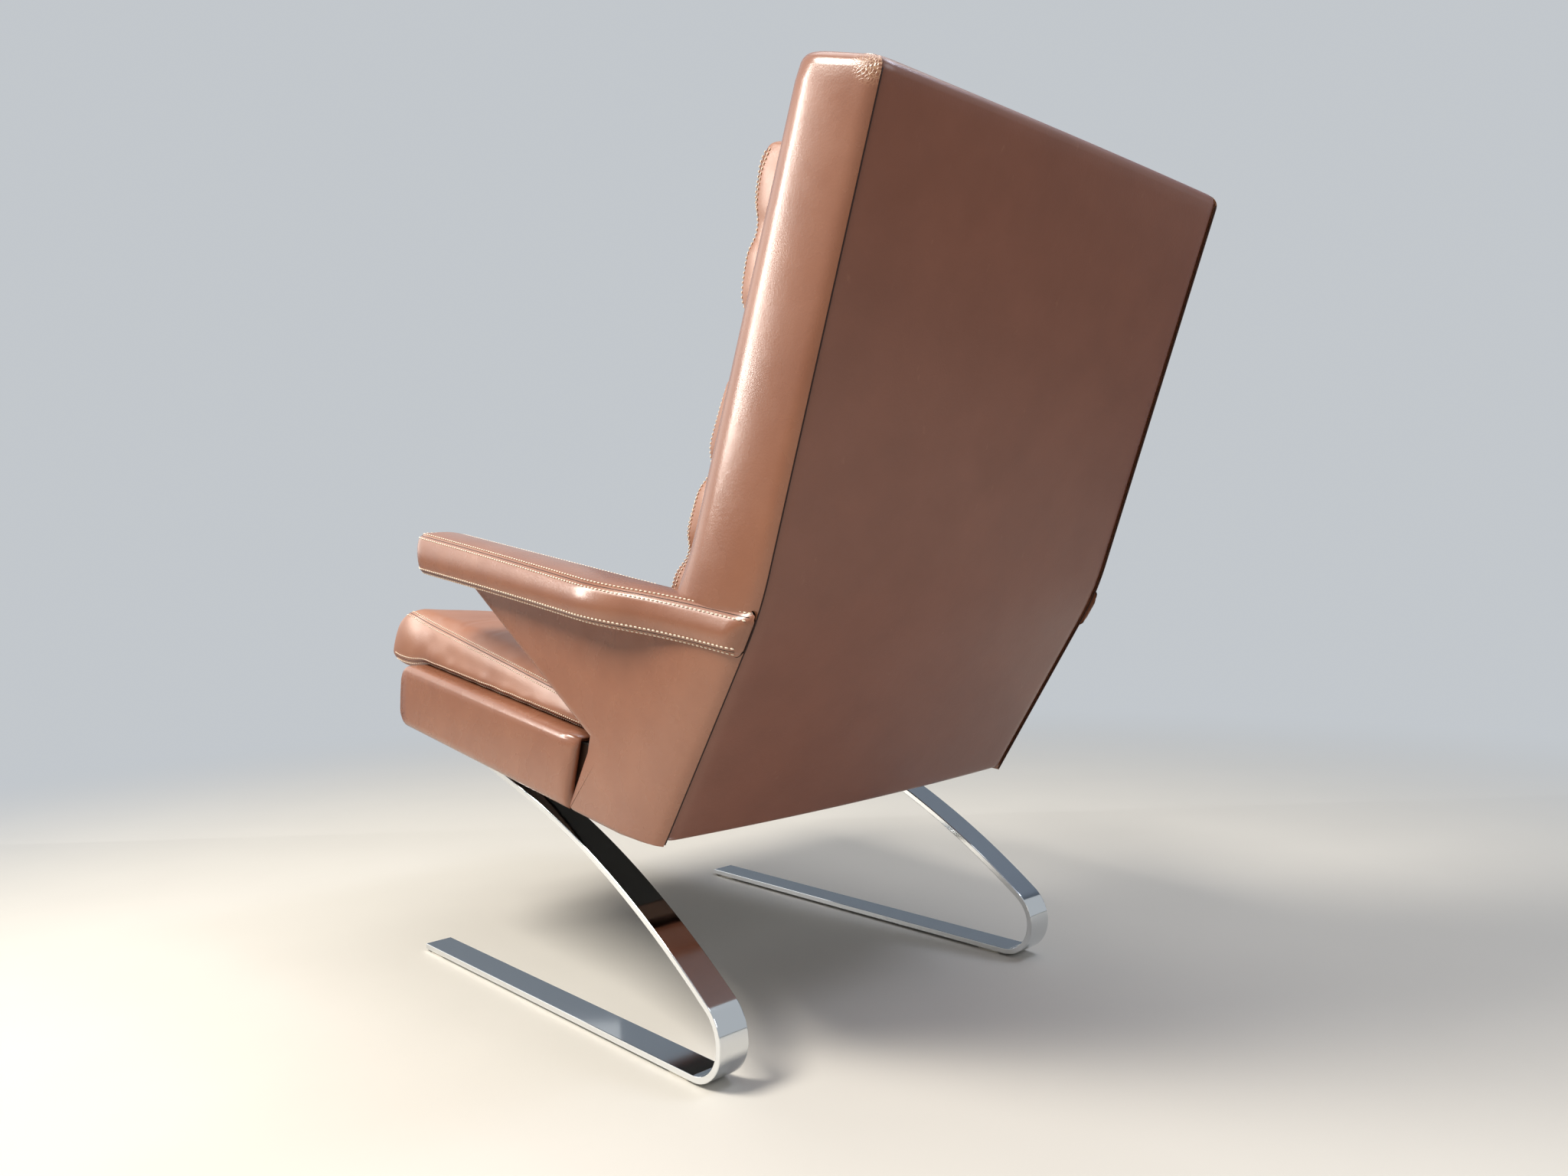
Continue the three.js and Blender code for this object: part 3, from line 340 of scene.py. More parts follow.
@dataclass(frozen=True)
class SideView:
    """The chair's side outline: its seat plane and its back with one gentle bend."""

    bend: Spot = (786.0, 512.5)
    upper_lean: float = math.radians(20.9)
    lower_lean: float = math.radians(33.6)
    bend_reach: float = 40.0
    seat_start: Spot = (173.885, 303.411)
    seat_pitch: float = math.radians(8.3)

    def level(self, x: float, depth: float, height: float) -> Vector:
        """A point in metres, given in millimetres by its depth and its height over the floor."""
        return Vector((x, depth - FRONT_SHIFT, height)) * MM

    def on_back(self, x: float, along: float, depth: float, bent: bool = True) -> Vector:
        """A point on the back.

        Args:
            x: Distance across from the chair's middle.
            along: Distance up the back from its bend.
            depth: Distance forward from the back's rear face.
            bent: Whether the line below the bend leans as the lower back does.

        Returns:
            The point in metres.
        """
        y, z = self.bend
        lean, reach = self.upper_lean, self.bend_reach
        if bent and along < reach:
            lean = self.lower_lean
            if along > -reach:
                turn = self.lower_lean - self.upper_lean
                radius = reach / math.tan(turn / 2)
                lean -= turn * (along + reach) / (2 * reach)
                y += radius * (math.cos(lean) - math.cos(self.lower_lean)) - reach * math.sin(self.lower_lean)
                z += radius * (math.sin(self.lower_lean) - math.sin(lean)) - reach * math.cos(self.lower_lean)
                along = 0.0
        c, s = math.cos(lean), math.sin(lean)
        return self.level(x, y + along * s - depth * c, z + along * c + depth * s)

    def on_seat(self, x: float, depth: float, rise: float) -> Vector:
        """A point over the seat plane.

        Args:
            x: Distance across from the chair's middle.
            depth: Distance back from the skids' front tips.
            rise: Height over the seat plane, square to it.

        Returns:
            The point in metres.
        """
        c, s = math.cos(self.seat_pitch), math.sin(self.seat_pitch)
        along = (depth - self.seat_start[0]) / c
        y, z = self.seat_start
        return self.level(x, y + along * c + rise * s, z - along * s + rise * c)

    def off_seat(self, points: np.ndarray) -> tuple[np.ndarray, np.ndarray]:
        """Each point's depth and its rise over the seat plane, in millimetres."""
        y = points[:, 1] / MM + FRONT_SHIFT - self.seat_start[0]
        z = points[:, 2] / MM - self.seat_start[1]
        c, s = math.cos(self.seat_pitch), math.sin(self.seat_pitch)
        return (y * c - z * s) * c + self.seat_start[0], y * s + z * c

    def off_back(self, points: np.ndarray, lean: float) -> tuple[np.ndarray, np.ndarray]:
        """Each point's distance up the back from its bend and forward of it, in millimetres."""
        y = points[:, 1] / MM + FRONT_SHIFT - self.bend[0]
        z = points[:, 2] / MM - self.bend[1]
        c, s = math.cos(lean), math.sin(lean)
        return y * s + z * c, -y * c + z * s


VIEW = SideView()


def new_piece(
    name: str, bm: BMesh, material: Material | None = None, smooth: bool = True, sharp: float | None = None
) -> Thing:
    """Turns a bmesh to one piece of the scene and frees it.

    Args:
        name: The piece's name.
        bm: Its form, already in place.
        material: Its material.
        smooth: Whether its faces shade smoothly.
        sharp: Angle in radians over which an edge stays sharp.

    Returns:
        The new object.
    """
    mesh = bpy.data.meshes.new(name)
    bm.to_mesh(mesh)
    bm.free()
    mesh.polygons.foreach_set("use_smooth", [smooth] * len(mesh.polygons))
    if sharp is not None:
        mesh.set_sharp_from_angle(angle=sharp)
    piece = bpy.data.objects.new(name, mesh)
    bpy.context.scene.collection.objects.link(piece)
    if material is not None:
        mesh.materials.append(material)
    return piece


def upholster(piece: Thing, node: str) -> None:
    """Lets a padded piece stand for a node and move with the seat.

    Args:
        piece: The piece.
        node: The frame's node.
    """
    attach(piece, "seat")
    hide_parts(node)


def baked(piece: Thing) -> Thing:
    """Applies a piece's modifiers to its mesh."""
    bpy.context.view_layer.update()
    graph = bpy.context.evaluated_depsgraph_get()
    mesh = bpy.data.meshes.new_from_object(piece.evaluated_get(graph))
    old = piece.data
    piece.modifiers.clear()
    piece.data = mesh
    bpy.data.meshes.remove(old)
    return piece


def rows_of(items: bpy.types.bpy_prop_collection, name: str) -> np.ndarray:
    """One vector of each item, as rows of an array."""
    flat = np.empty(len(items) * 3, dtype=np.float64)
    items.foreach_get(name, flat)
    return flat.reshape(-1, 3)


def move_points(mesh: Mesh, points: np.ndarray) -> None:
    """Writes new places to a mesh's vertices."""
    mesh.vertices.foreach_set("co", points.astype(np.float32).ravel())
    mesh.update()


def even_skin(node: str, name: str, voxel: float, rounds: int) -> Thing:
    """Copies a node's form into an evenly meshed, smoothed skin.

    Args:
        node: The frame's node.
        name: The new piece's name.
        voxel: Size of the even mesh in metres.
        rounds: How often its vertices are smoothed.

    Returns:
        The new object.
    """
    bm = bmesh.new()
    bm.from_mesh(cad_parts[node].data)
    bmesh.ops.remove_doubles(bm, verts=bm.verts, dist=0.01 * MM)
    piece = new_piece(name, bm)
    even = piece.modifiers.new("even", "REMESH")
    even.mode = "VOXEL"
    even.voxel_size = voxel
    smoothed(baked(piece), rounds)
    return piece


def smoothed(piece: Thing, rounds: int, factor: float = 0.5) -> None:
    """Smooths a piece's mesh.

    Args:
        piece: The piece.
        rounds: How often each vertex moves towards its neighbours.
        factor: How far it moves each time.
    """
    bm = bmesh.new()
    bm.from_mesh(piece.data)
    axes = {"use_axis_x": True, "use_axis_y": True, "use_axis_z": True}
    for _ in range(rounds):
        bmesh.ops.smooth_vert(bm, verts=bm.verts, factor=factor, **axes)
    bm.to_mesh(piece.data)
    bm.free()
    piece.data.polygons.foreach_set("use_smooth", [True] * len(piece.data.polygons))


def surface_of(piece: Thing) -> BVHTree:
    """A search tree over a piece's mesh."""
    bm = bmesh.new()
    bm.from_mesh(piece.data)
    tree = BVHTree.FromBMesh(bm)
    bm.free()
    return tree


def drawn_on(bm: BMesh, ring: Iterable[BMEdge]) -> tuple[list[BMVert], list[BMEdge]]:
    """Extrudes a ring of edges, and returns its new vertices and edges."""
    made = bmesh.ops.extrude_edge_only(bm, edges=list(ring))["geom"]
    return [g for g in made if isinstance(g, BMVert)], [g for g in made if isinstance(g, BMEdge)]


def closed(bm: BMesh) -> BMesh:
    """Fills a form's open ends and turns its faces outward."""
    bmesh.ops.holes_fill(bm, edges=[e for e in bm.edges if e.is_boundary], sides=0)
    bmesh.ops.recalc_face_normals(bm, faces=bm.faces)
    return bm


def sliced(bm: BMesh, place: Vector, normal: Vector) -> None:
    """Cuts every face along one plane, and keeps both halves."""
    geom = [*bm.verts, *bm.edges, *bm.faces]
    bmesh.ops.bisect_plane(bm, geom=geom, dist=0.01 * MM, plane_co=place, plane_no=normal)


def resampled(path: Sequence[Vector], pitch: float) -> list[Vector]:
    """Points a fixed distance apart along a path.

    Args:
        path: Corner points.
        pitch: Distance between the new points.

    Returns:
        The new points.
    """
    found = [path[0].copy()]
    left = pitch
    for start, end in zip(path, path[1:]):
        length = (end - start).length
        at = left
        while at <= length:
            found.append(start.lerp(end, at / length))
            at += pitch
        left = at - length
    return found


@dataclass(frozen=True)
class Seams:
    """Seams with a row of lockstitch on each side, short threads that bridge equal steps, and a dark strip of
    painted shade along each seam line.
    """

    thread: Material
    seam_shade: Material
    gap: float
    pitch: float = 5.0 * MM
    length: float = 3.7 * MM
    width: float = 2.0 * MM
    proud: float = 0.7 * MM
    seam_shade_width: float = 1.1 * MM

    def sew(self, name: str, lines: Sequence[Callable[[float], Row]]) -> None:
        """Adds the threads and the painted shade of some seams, as two pieces that ride on the seat.

        Args:
            name: The start of the pieces' names.
            lines: For each seam, what gives points and normals on the leather at a distance beside it.
        """
        bm = bmesh.new()
        for line in lines:
            for offset in (-self.gap, self.gap):
                self._sew_row(bm, line(offset))
        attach(new_piece(f"{name}_stitches", bm, self.thread), "seat")
        # The dark strip along each seam line is painted shade for the groove of the seam
        creases_and_seam_shade_lines = [line(0.0) for line in lines]
        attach(seam_shade_strip(f"{name}_seam", creases_and_seam_shade_lines, self.seam_shade_width, self.seam_shade), "seat")

    def _sew_row(self, bm: BMesh, row: Row) -> None:
        """Adds one row's threads to a bmesh."""
        one = bmesh.new()
        path = resampled([point for point, _ in row], self.pitch)
        nearest = 0
        for start, end in zip(path, path[1:]):
            middle = (start + end) / 2
            while nearest + 1 < len(row) and (row[nearest + 1][0] - middle).length < (
                row[nearest][0] - middle
            ).length:
                nearest += 1
            along = (end - start).normalized()
            across = row[nearest][1].cross(along).normalized()
            up = along.cross(across)
            turn = Matrix((along, across, up)).transposed().to_4x4()
            size = Matrix.Diagonal((self.length / 2, self.width / 2, self.width * 0.4, 1.0))
            place = Matrix.Translation(middle + up * self.proud) @ turn @ size
            bmesh.ops.create_icosphere(one, subdivisions=1, radius=1.0, matrix=place)
        mesh = bpy.data.meshes.new("row")
        one.to_mesh(mesh)
        one.free()
        bm.from_mesh(mesh)
        bpy.data.meshes.remove(mesh)


def laid_row(tree: BVHTree, sources: Iterable[tuple[Vector, Vector]], reach: float = 80 * MM) -> Row:
    """Where rays meet a piece: the line of a seam on its real surface.

    Args:
        tree: The piece's search tree.
        sources: Start points and directions.
        reach: How far each ray looks.

    Returns:
        Points on the surface with their normals.
    """
    hits = [tree.ray_cast(origin, direction.normalized(), reach) for origin, direction in sources]
    return [(point, normal) for point, normal, _, _ in hits if point is not None]


def seam_shade_strip(name: str, rows: Iterable[Row], width: float, material: Material) -> Thing:
    """A thin dark strip that lies along a seam: painted shade for its groove.

    Args:
        name: The piece's name.
        rows: For each line, points on the leather with their normals.
        width: Width of the strip.
        material: Its material.

    Returns:
        The new object.
    """
    bm = bmesh.new()
    for row in rows:
        ring: list[BMEdge] = []
        for (here, normal), (ahead, _) in zip(row, row[1:]):
            along = (ahead - here).normalized()
            across = normal.cross(along).normalized()
            turn = Matrix((across, along.cross(across), along)).transposed().to_4x4()
            target = Matrix.Translation(here) @ turn @ Matrix.Diagonal((width / 2, width / 4, 1.0, 1.0))
            if ring:
                verts, ring = drawn_on(bm, ring)
                bmesh.ops.transform(bm, matrix=target @ last.inverted(), verts=verts)
            else:
                made = bmesh.ops.create_circle(bm, segments=6, radius=1.0, matrix=target)
                ring = list({edge for vert in made["verts"] for edge in vert.link_edges})
            last = target
    return new_piece(name, closed(bm), material)


@dataclass
class Skids:
    """Two flat steel skids that spring: runner, heel, sweep, top bend and straight top."""

    span: float = 600.0
    width: float = 40.0
    thickness: float = 8.0
    edge_ease: float = 1.0
    glide_height: float = 2.5
    runner: float = 647.0
    heel_radius: float = 50.5
    sweep_radius: float = 1150.0
    sweep_start: float = math.radians(37)
    sweep_end: float = math.radians(16.5)
    straight: float = 120.0
    bend_radius: float = 300.0
    top_length: float = 130.0
    heel_steps: int = 96
    sweep_steps: int = 60
    bend_steps: int = 12
    sharp: float = math.radians(12)
    spring_depth: float = 420.0
    spring_low: float = 40.0
    spring_high: float = 285.0

    def build(self, chrome: Material) -> None:
        """Makes both skids in place of the frame's own."""
        for side in Side:
            piece = self._strip(side, chrome)
            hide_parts(f"{side.label}_skid")
            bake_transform(piece)

    def _strip(self, side: Side, chrome: Material) -> Thing:
        """One skid: its section drawn along the runner, round the heel and up the sweep."""
        bm = bmesh.new()
        bmesh.ops.create_grid(bm, x_segments=1, y_segments=1, size=0.5 * MM)
        bmesh.ops.scale(bm, vec=(self.width, self.thickness, 1), verts=bm.verts)
        ease = {"segments": 3, "profile": 0.5, "affect": "VERTICES", "material": -1}
        bmesh.ops.bevel(bm, geom=bm.verts[:], offset=self.edge_ease * MM, **ease)
        bmesh.ops.delete(bm, geom=bm.faces[:], context="FACES_ONLY")
        middle = side.value * (self.span - self.width) / 2
        stand = Matrix.Translation(VIEW.level(middle, 0, self.glide_height + self.thickness / 2))
        bmesh.ops.transform(bm, matrix=stand @ Matrix.Rotation(math.pi / 2, 4, "X"), verts=bm.verts)
        ring = self._pull(bm, bm.edges[:], Vector((0, self.runner * MM, 0)))
        heel = VIEW.level(middle, self.runner, self.glide_height + self.heel_radius)
        ring = self._turn(bm, ring, heel, math.pi - self.sweep_start, self.heel_steps)
        sweep = heel + upright(self.sweep_start) * (self.heel_radius - self.sweep_radius) * MM
        ring = self._turn(bm, ring, sweep, self.sweep_start - self.sweep_end, self.sweep_steps)
        pull = forward(self.sweep_end) * self.straight * MM
        ring = self._pull(bm, ring, pull)
        bend = sweep + pull + upright(self.sweep_end) * (self.sweep_radius - self.bend_radius) * MM
        ring = self._turn(bm, ring, bend, self.sweep_end - VIEW.seat_pitch, self.bend_steps)
        self._pull(bm, ring, forward(VIEW.seat_pitch) * self.top_length * MM)
        return new_piece(f"{side.label}_spring_skid", closed(bm), chrome, sharp=self.sharp)

    def _pull(self, bm: BMesh, ring: Sequence[BMEdge], move: Vector) -> list[BMEdge]:
        """Draws the section straight on and returns its new edges."""
        verts, edges = drawn_on(bm, ring)
        bmesh.ops.translate(bm, vec=move, verts=verts)
        return edges

    def _turn(
        self, bm: BMesh, ring: Sequence[BMEdge], centre: Vector, angle: float, steps: int
    ) -> list[BMEdge]:
        """Draws the section round a centre and returns its new edges."""
        geom = [*{v for edge in ring for v in edge.verts}, *ring]
        turn = {"cent": centre, "axis": (1, 0, 0), "angle": angle, "steps": steps, "use_merge": False}
        return [g for g in bmesh.ops.spin(bm, geom=geom, **turn)["geom_last"] if isinstance(g, BMEdge)]


@dataclass(frozen=True)
class Crease:
    """A crease in the leather: a line over the seat plane, how deep it sinks and how wide."""

    path: tuple[tuple[float, float, float], ...]
    depth: float
    width: float
    ridge: float = 0.18
    ridge_place: float = 1.9

    def shape(self, points: np.ndarray) -> np.ndarray:
        """How far each point moves out along its normal, in metres."""
        nearest = np.full(len(points), 1e9)
        share = np.zeros(len(points))
        corners = [np.array(VIEW.on_seat(*corner)) for corner in self.path]
        for i, (start, end) in enumerate(zip(corners, corners[1:])):
            line = end - start
            t = np.clip(((points - start) @ line) / (line @ line), 0, 1)
            away = np.linalg.norm(points - start - t[:, None] * line, axis=1)
            closer = away < nearest
            nearest[closer] = away[closer]
            share[closer] = (i + t[closer]) / (len(corners) - 1)
        fade = np.sin(np.pi * np.clip(share * 0.9 + 0.08, 0, 1)) ** 0.7
        r = nearest / (self.width * MM)
        profile = self.ridge * np.exp(-((r - self.ridge_place) ** 2)) - np.exp(-r * r)
        return fade * self.depth * MM * profile


# Each crease's line on one side of the chair, its depth and its width: five on the side, four on top
SEAT_FOLDS = (
    (((293, 46, 96), (296, 70, 122), (296, 110, 146), (291, 126, 160)), 5.5, 4.0),
    (((294, 141, 98), (296, 164, 118), (295, 200, 140)), 4.8, 4.0),
    (((294, 204, 98), (296, 228, 118)), 4.0, 4.0),
    (((294, 258, 98), (295, 284, 120)), 4.0, 4.0),
    (((294, -2, 104), (296, 6, 134)), 2.2, 6.0),
    (((286, 60, 172), (242, 40, 176), (183, 26, 178), (110, 40, 178)), 1.3, 5.0),
    (((286, 150, 164), (254, 118, 172), (200, 96, 176), (120, 90, 176)), 1.6, 5.5),
    (((286, 232, 160), (254, 200, 168), (190, 182, 172), (110, 176, 172)), 1.4, 6.0),
    (((284, 330, 150), (240, 312, 158), (150, 290, 160)), 1.2, 6.0),
)


@dataclass
class Cushion:
    """A loose cushion: a form that swells between its sewn lines."""

    node: str
    voxel: float
    spare: float = 0.03
    reach: float = 11 * MM
    smooth_rounds: int = 9
    slack: float = 4 * MM
    frames: int = 20
    piece: Thing = field(init=False)
    rest: np.ndarray = field(init=False)

    def cut(self, held: Callable[[np.ndarray], np.ndarray]) -> None:
        """Makes the cover slightly small and fastens it where it is sewn or rests.

        Args:
            held: Gives each point's hold, from 0 free to 1 fast, from its place.
        """
        self.piece = even_skin(self.node, f"{self.node}_cover", self.voxel, 2)
        mesh = self.piece.data
        points, normals = rows_of(mesh.vertices, "co"), rows_of(mesh.vertex_normals, "vector")
        hold = np.clip(held(points), 0, 1)
        move_points(mesh, points - normals * (self.slack * (1 - hold))[:, None])
        self.rest = rows_of(mesh.vertices, "co")
        group = self.piece.vertex_groups.new(name="sewn")
        tenths = np.round(hold, 1)
        for level in np.unique(tenths[tenths > 0]):
            group.add(np.nonzero(tenths == level)[0].tolist(), float(level), "REPLACE")
        cloth = self.piece.modifiers.new("leather", "CLOTH")
        leather = {
            "quality": 5,
            "mass": 0.4,
            "use_pressure": True,
            "uniform_pressure_force": 4.0,
            "tension_stiffness": 20,
            "compression_stiffness": 12,
            "shear_stiffness": 8,
            "bending_stiffness": 0.4,
            "shrink_min": -self.spare,
            "vertex_group_mass": group.name,
        }
        for setting, value in leather.items():
            setattr(cloth.settings, setting, value)
        cloth.settings.effector_weights.gravity = 0
        cloth.collision_settings.use_collision = False
        cloth.point_cache.frame_start = 1
        cloth.point_cache.frame_end = self.frames

    def finish(self, hide: Material, fill: float, creases: Iterable[Crease] = ()) -> None:
        """Takes the swollen form as the cover's mesh, refines it, creases it and dresses it.

        Args:
            hide: The leather.
            fill: How full the cushion is, from 0 to 1; not used.
            creases: Folds to press in.
        """
        graph = bpy.context.evaluated_depsgraph_get()
        move = rows_of(self.piece.evaluated_get(graph).data.vertices, "co") - self.rest
        self.piece.modifiers.clear()
        cap = np.minimum(1, self.reach / np.maximum(np.linalg.norm(move, axis=1), 1e-9))
        move_points(self.piece.data, self.rest + move * cap[:, None])
        smoothed(self.piece, self.smooth_rounds, 0.3)
        refine = self.piece.modifiers.new("refine", "SUBSURF")
        refine.levels = refine.render_levels = 1
        mesh = baked(self.piece).data
        points, normals = rows_of(mesh.vertices, "co"), rows_of(mesh.vertex_normals, "vector")
        for crease in creases:
            points = points + normals * crease.shape(points)[:, None]
        move_points(mesh, points)
        mesh.polygons.foreach_set("use_smooth", [True] * len(mesh.polygons))
        mesh.materials.clear()
        mesh.materials.append(hide)
        upholster(self.piece, self.node)


@dataclass
class Cushions:
    """Seat, back and head cushion, simulated together."""

    half_width: float = 288.0
    seat_front: float = -135.0
    seat_rear: float = 532.0
    seat_base: float = 97.5
    seat_front_height: float = 82.0
    seat_rear_height: float = 35.0
    back_half_width: float = 269.5
    back_front: float = 180.0
    back_low: float = -166.0
    back_top: float = 264.0
    back_channels: tuple[float, ...] = (-99.35, 0.84, 100.6, 221.0)
    head_low: float = 268.0
    head_top: float = 446.0
    head_crease: float = 357.0
    row_gap: float = 4.4
    slant: float = 0.7
    side_inset: float = 12.0
    front_inset: float = 14.0
    row_steps: int = 80
    front_steps: int = 60
    back_steps: int = 90

    def build(self, hide: Material, thread: Material, seam_shade: Material) -> None:
        """Makes the three cushions and their seams.

        Args:
            hide: The leather.
            thread: The thread.
            seam_shade: The seams' painted shade, dark strips along their lines.
        """
        seat = Cushion("seat_cushion", 7 * MM, spare=0.02, reach=8 * MM, smooth_rounds=12)
        back, head = Cushion("back_cushion", 6.5 * MM), Cushion("head_cushion", 6 * MM)
        seat.cut(self._seat_hold)
        back.cut(partial(self._back_hold, channels=self.back_channels))
        head.cut(partial(self._back_hold, channels=(self.head_crease,)))
        for step in range(1, seat.frames + 1):
            bpy.context.scene.frame_set(step)
        creases_and_seam_shade_lines = [
            Crease(tuple((x * side.value, y, z) for x, y, z in path), depth, width)
            for path, depth, width in SEAT_FOLDS
            for side in Side
        ]
        for cushion, fill, creases in ((seat, 0.6, creases_and_seam_shade_lines), (back, 0.7, ()), (head, 0.7, ())):
            cushion.finish(hide, fill, creases)
            log.info("cushion %s", cushion.piece.name)
        bpy.context.scene.frame_set(1)
        seams = Seams(thread, seam_shade, self.row_gap)
        tree = surface_of(seat.piece)
        seams.sew(seat.piece.name, [partial(self._seat_row, tree, low) for low in (False, True)])
        for cushion, low, top in ((back, self.back_low, self.back_top), (head, self.head_low, self.head_top)):
            tree = surface_of(cushion.piece)
            seams.sew(cushion.piece.name, [partial(self._back_row, tree, low, top, side) for side in Side])

    def _seat_hold(self, points: np.ndarray) -> np.ndarray:
        """Holds the seat cushion where it rests on the box and at its rear."""
        depth, rise = VIEW.off_seat(points)
        under = np.clip((self.seat_base + 16 - rise) / 10, 0, 1)
        rear = np.clip((depth - self.seat_rear + 60) / 30, 0, 1)
        return np.maximum(under, rear)

    def _back_hold(self, points: np.ndarray, channels: Sequence[float]) -> np.ndarray:
        """Holds a back cushion behind, at its ends and along its sewn channels."""
        along, depth = VIEW.off_back(points, VIEW.upper_lean)
        behind = np.clip((90 - depth) / 20, 0, 1)
        sewn = np.max([np.clip(1.2 - np.abs(along - line) / 7, 0, 1) for line in channels], axis=0)
        low = np.clip((along.min() + 10 - along) / 6, 0, 1)
        high = np.clip((along - along.max() + 10) / 6, 0, 1)
        front = np.abs(points[:, 0]) < (self.back_half_width - 6) * MM
        return np.maximum.reduce([behind, np.where(front, sewn, sewn * 0.5), np.maximum(low, high)])

    def _seat_row(self, tree: BVHTree, low: bool, offset: float) -> Row:
        """A row on the seat cushion's edge: up one side, across the front, down the other.

        Args:
            tree: The cushion's search tree.
            low: Whether it is the lower edge.
            offset: How far beside the seam the row lies.

        Returns:
            Points on the leather with their normals.
        """
        down, shift = -1 if low else 1, offset * self.slant
        sides = {}
        for side in (-1, 1):
            across = side * (self.half_width - self.side_inset + shift)
            rays = []
            for i in range(self.row_steps):
                share = i / (self.row_steps - 1)
                depth = self.seat_front + 22 + share * (self.seat_rear - self.seat_front - 60)
                height = self.seat_front_height + share * (self.seat_rear_height - self.seat_front_height)
                rise = self.seat_base + (0 if low else height) - down * (self.side_inset + shift)
                rays.append(self._ray((across, depth, rise), (side * 40, 0, down * 40)))
            sides[side] = rays
        rise = self.seat_base + (-6 if low else self.seat_front_height - self.front_inset) - down * shift
        front = []
        for i in range(self.front_steps):
            x = (self.half_width - 18) * (i / (self.front_steps - 1) * 2 - 1)
            aim = (x, self.seat_front + self.front_inset - shift, rise)
            front.append(self._ray(aim, (0, -40, down * 40)))
        return laid_row(tree, [*reversed(sides[-1]), *front, *sides[1]])

    def _ray(self, aim: Sequence[float], away: Sequence[float]) -> tuple[Vector, Vector]:
        """A ray to a point over the seat plane, from a little away from it."""
        origin = VIEW.on_seat(*(a + b for a, b in zip(aim, away)))
        return origin, VIEW.on_seat(*aim) - origin

    def _back_row(self, tree: BVHTree, low: float, top: float, side: Side, offset: float) -> Row:
        """A row down one front edge of a back cushion.

        Args:
            tree: The cushion's search tree.
            low: Where the cushion starts.
            top: Where it ends.
            side: The side of the chair.
            offset: How far beside the seam the row lies.

        Returns:
            Points on the leather with their normals.
        """
        shift = offset * self.slant
        x, depth = self.back_half_width - 8 + shift, self.back_front - shift
        rays = []
        for i in range(self.back_steps):
            along = low + 8 + (top - low - 16) * i / (self.back_steps - 1)
            origin = VIEW.on_back(side.value * (x + 60), along, depth + 60, bent=False)
            rays.append((origin, VIEW.on_back(side.value * x, along, depth, bent=False) - origin))
        return laid_row(tree, rays, 140 * MM)


@dataclass
class Skin:
    """A closed form drawn through a row of ring sections."""

    sections: list[list[Vector]]

    def piece(self, name: str, material: Material, sharp: float | None = None) -> Thing:
        """Draws one ring through all the sections and closes both ends.

        Args:
            name: The piece's name.
            material: Its material.
            sharp: Angle in radians over which an edge stays sharp.

        Returns:
            The new object.
        """
        bm = bmesh.new()
        bmesh.ops.create_circle(bm, segments=len(self.sections[0]), radius=1.0)
        verts, edges = bm.verts[:], bm.edges[:]
        for step, section in enumerate(self.sections):
            if step:
                order = {vert: i for i, vert in enumerate(verts)}
                made, edges = drawn_on(bm, edges)
                fresh = {}
                for vert in made:
                    mates = (edge.other_vert(vert) for edge in vert.link_edges)
                    fresh[next(order[mate] for mate in mates if mate in order)] = vert
                verts = [fresh[i] for i in range(len(verts))]
            for vert, point in zip(verts, section):
                vert.co = point
        return new_piece(name, closed(bm), material, sharp=sharp)

    def point(self, station: float, place: float) -> Vector:
        """The skin's point at a station and a place in the ring, both counted from 0."""
        low = min(max(int(station), 0), len(self.sections) - 2)
        across = min(max(station - low, 0.0), 1.0)
        first = math.floor(place)
        ends = []
        for ring in self.sections[low : low + 2]:
            here, beside = ring[first % len(ring)], ring[(first + 1) % len(ring)]
            ends.append(here.lerp(beside, place - first))
        return ends[0].lerp(ends[1], across)

    def row(self, path: Sequence[Spot]) -> Row:
        """Points on the skin with their normals, along a line of stations and places."""
        found = []
        for station, place in path:
            here = self.point(station, place)
            along = self.point(station + 0.5, place) - self.point(station - 0.5, place)
            round_it = self.point(station, place + 0.5) - self.point(station, place - 0.5)
            normal = along.cross(round_it).normalized()
            ring = [self.point(station, k) for k in range(0, len(self.sections[0]), 8)]
            middle = sum(ring, Vector()) / len(ring)
            found.append((here, normal if normal.dot(here - middle) > 0 else -normal))
        return found


def soft_ring(
    half_width: float, half_height: float, radius: float, per_corner: int, per_side: int
) -> list[Spot]:
    """Points of a rounded rectangle, counted round from its right side up.

    Args:
        half_width: Half its width.
        half_height: Half its height.
        radius: Radius of its corners.
        per_corner: Steps round each corner.
        per_side: Steps along each side.

    Returns:
        The points.
    """
    r = min(radius, half_width, half_height)
    corners = ((1, 1), (-1, 1), (-1, -1), (1, -1))

    def at(corner: int, turns: float) -> Spot:
        sx, sy = corners[corner % 4]
        angle = turns * math.pi / 2
        return sx * (half_width - r) + r * math.cos(angle), sy * (half_height - r) + r * math.sin(angle)

    points = []
    for turn in range(4):
        points += [at(turn, turn + i / per_corner) for i in range(per_corner + 1)]
        (x, y), (to_x, to_y) = points[-1], at(turn + 1, turn + 1)
        shares = [i / per_side for i in range(1, per_side)]
        points += [(x + (to_x - x) * share, y + (to_y - y) * share) for share in shares]
    return points


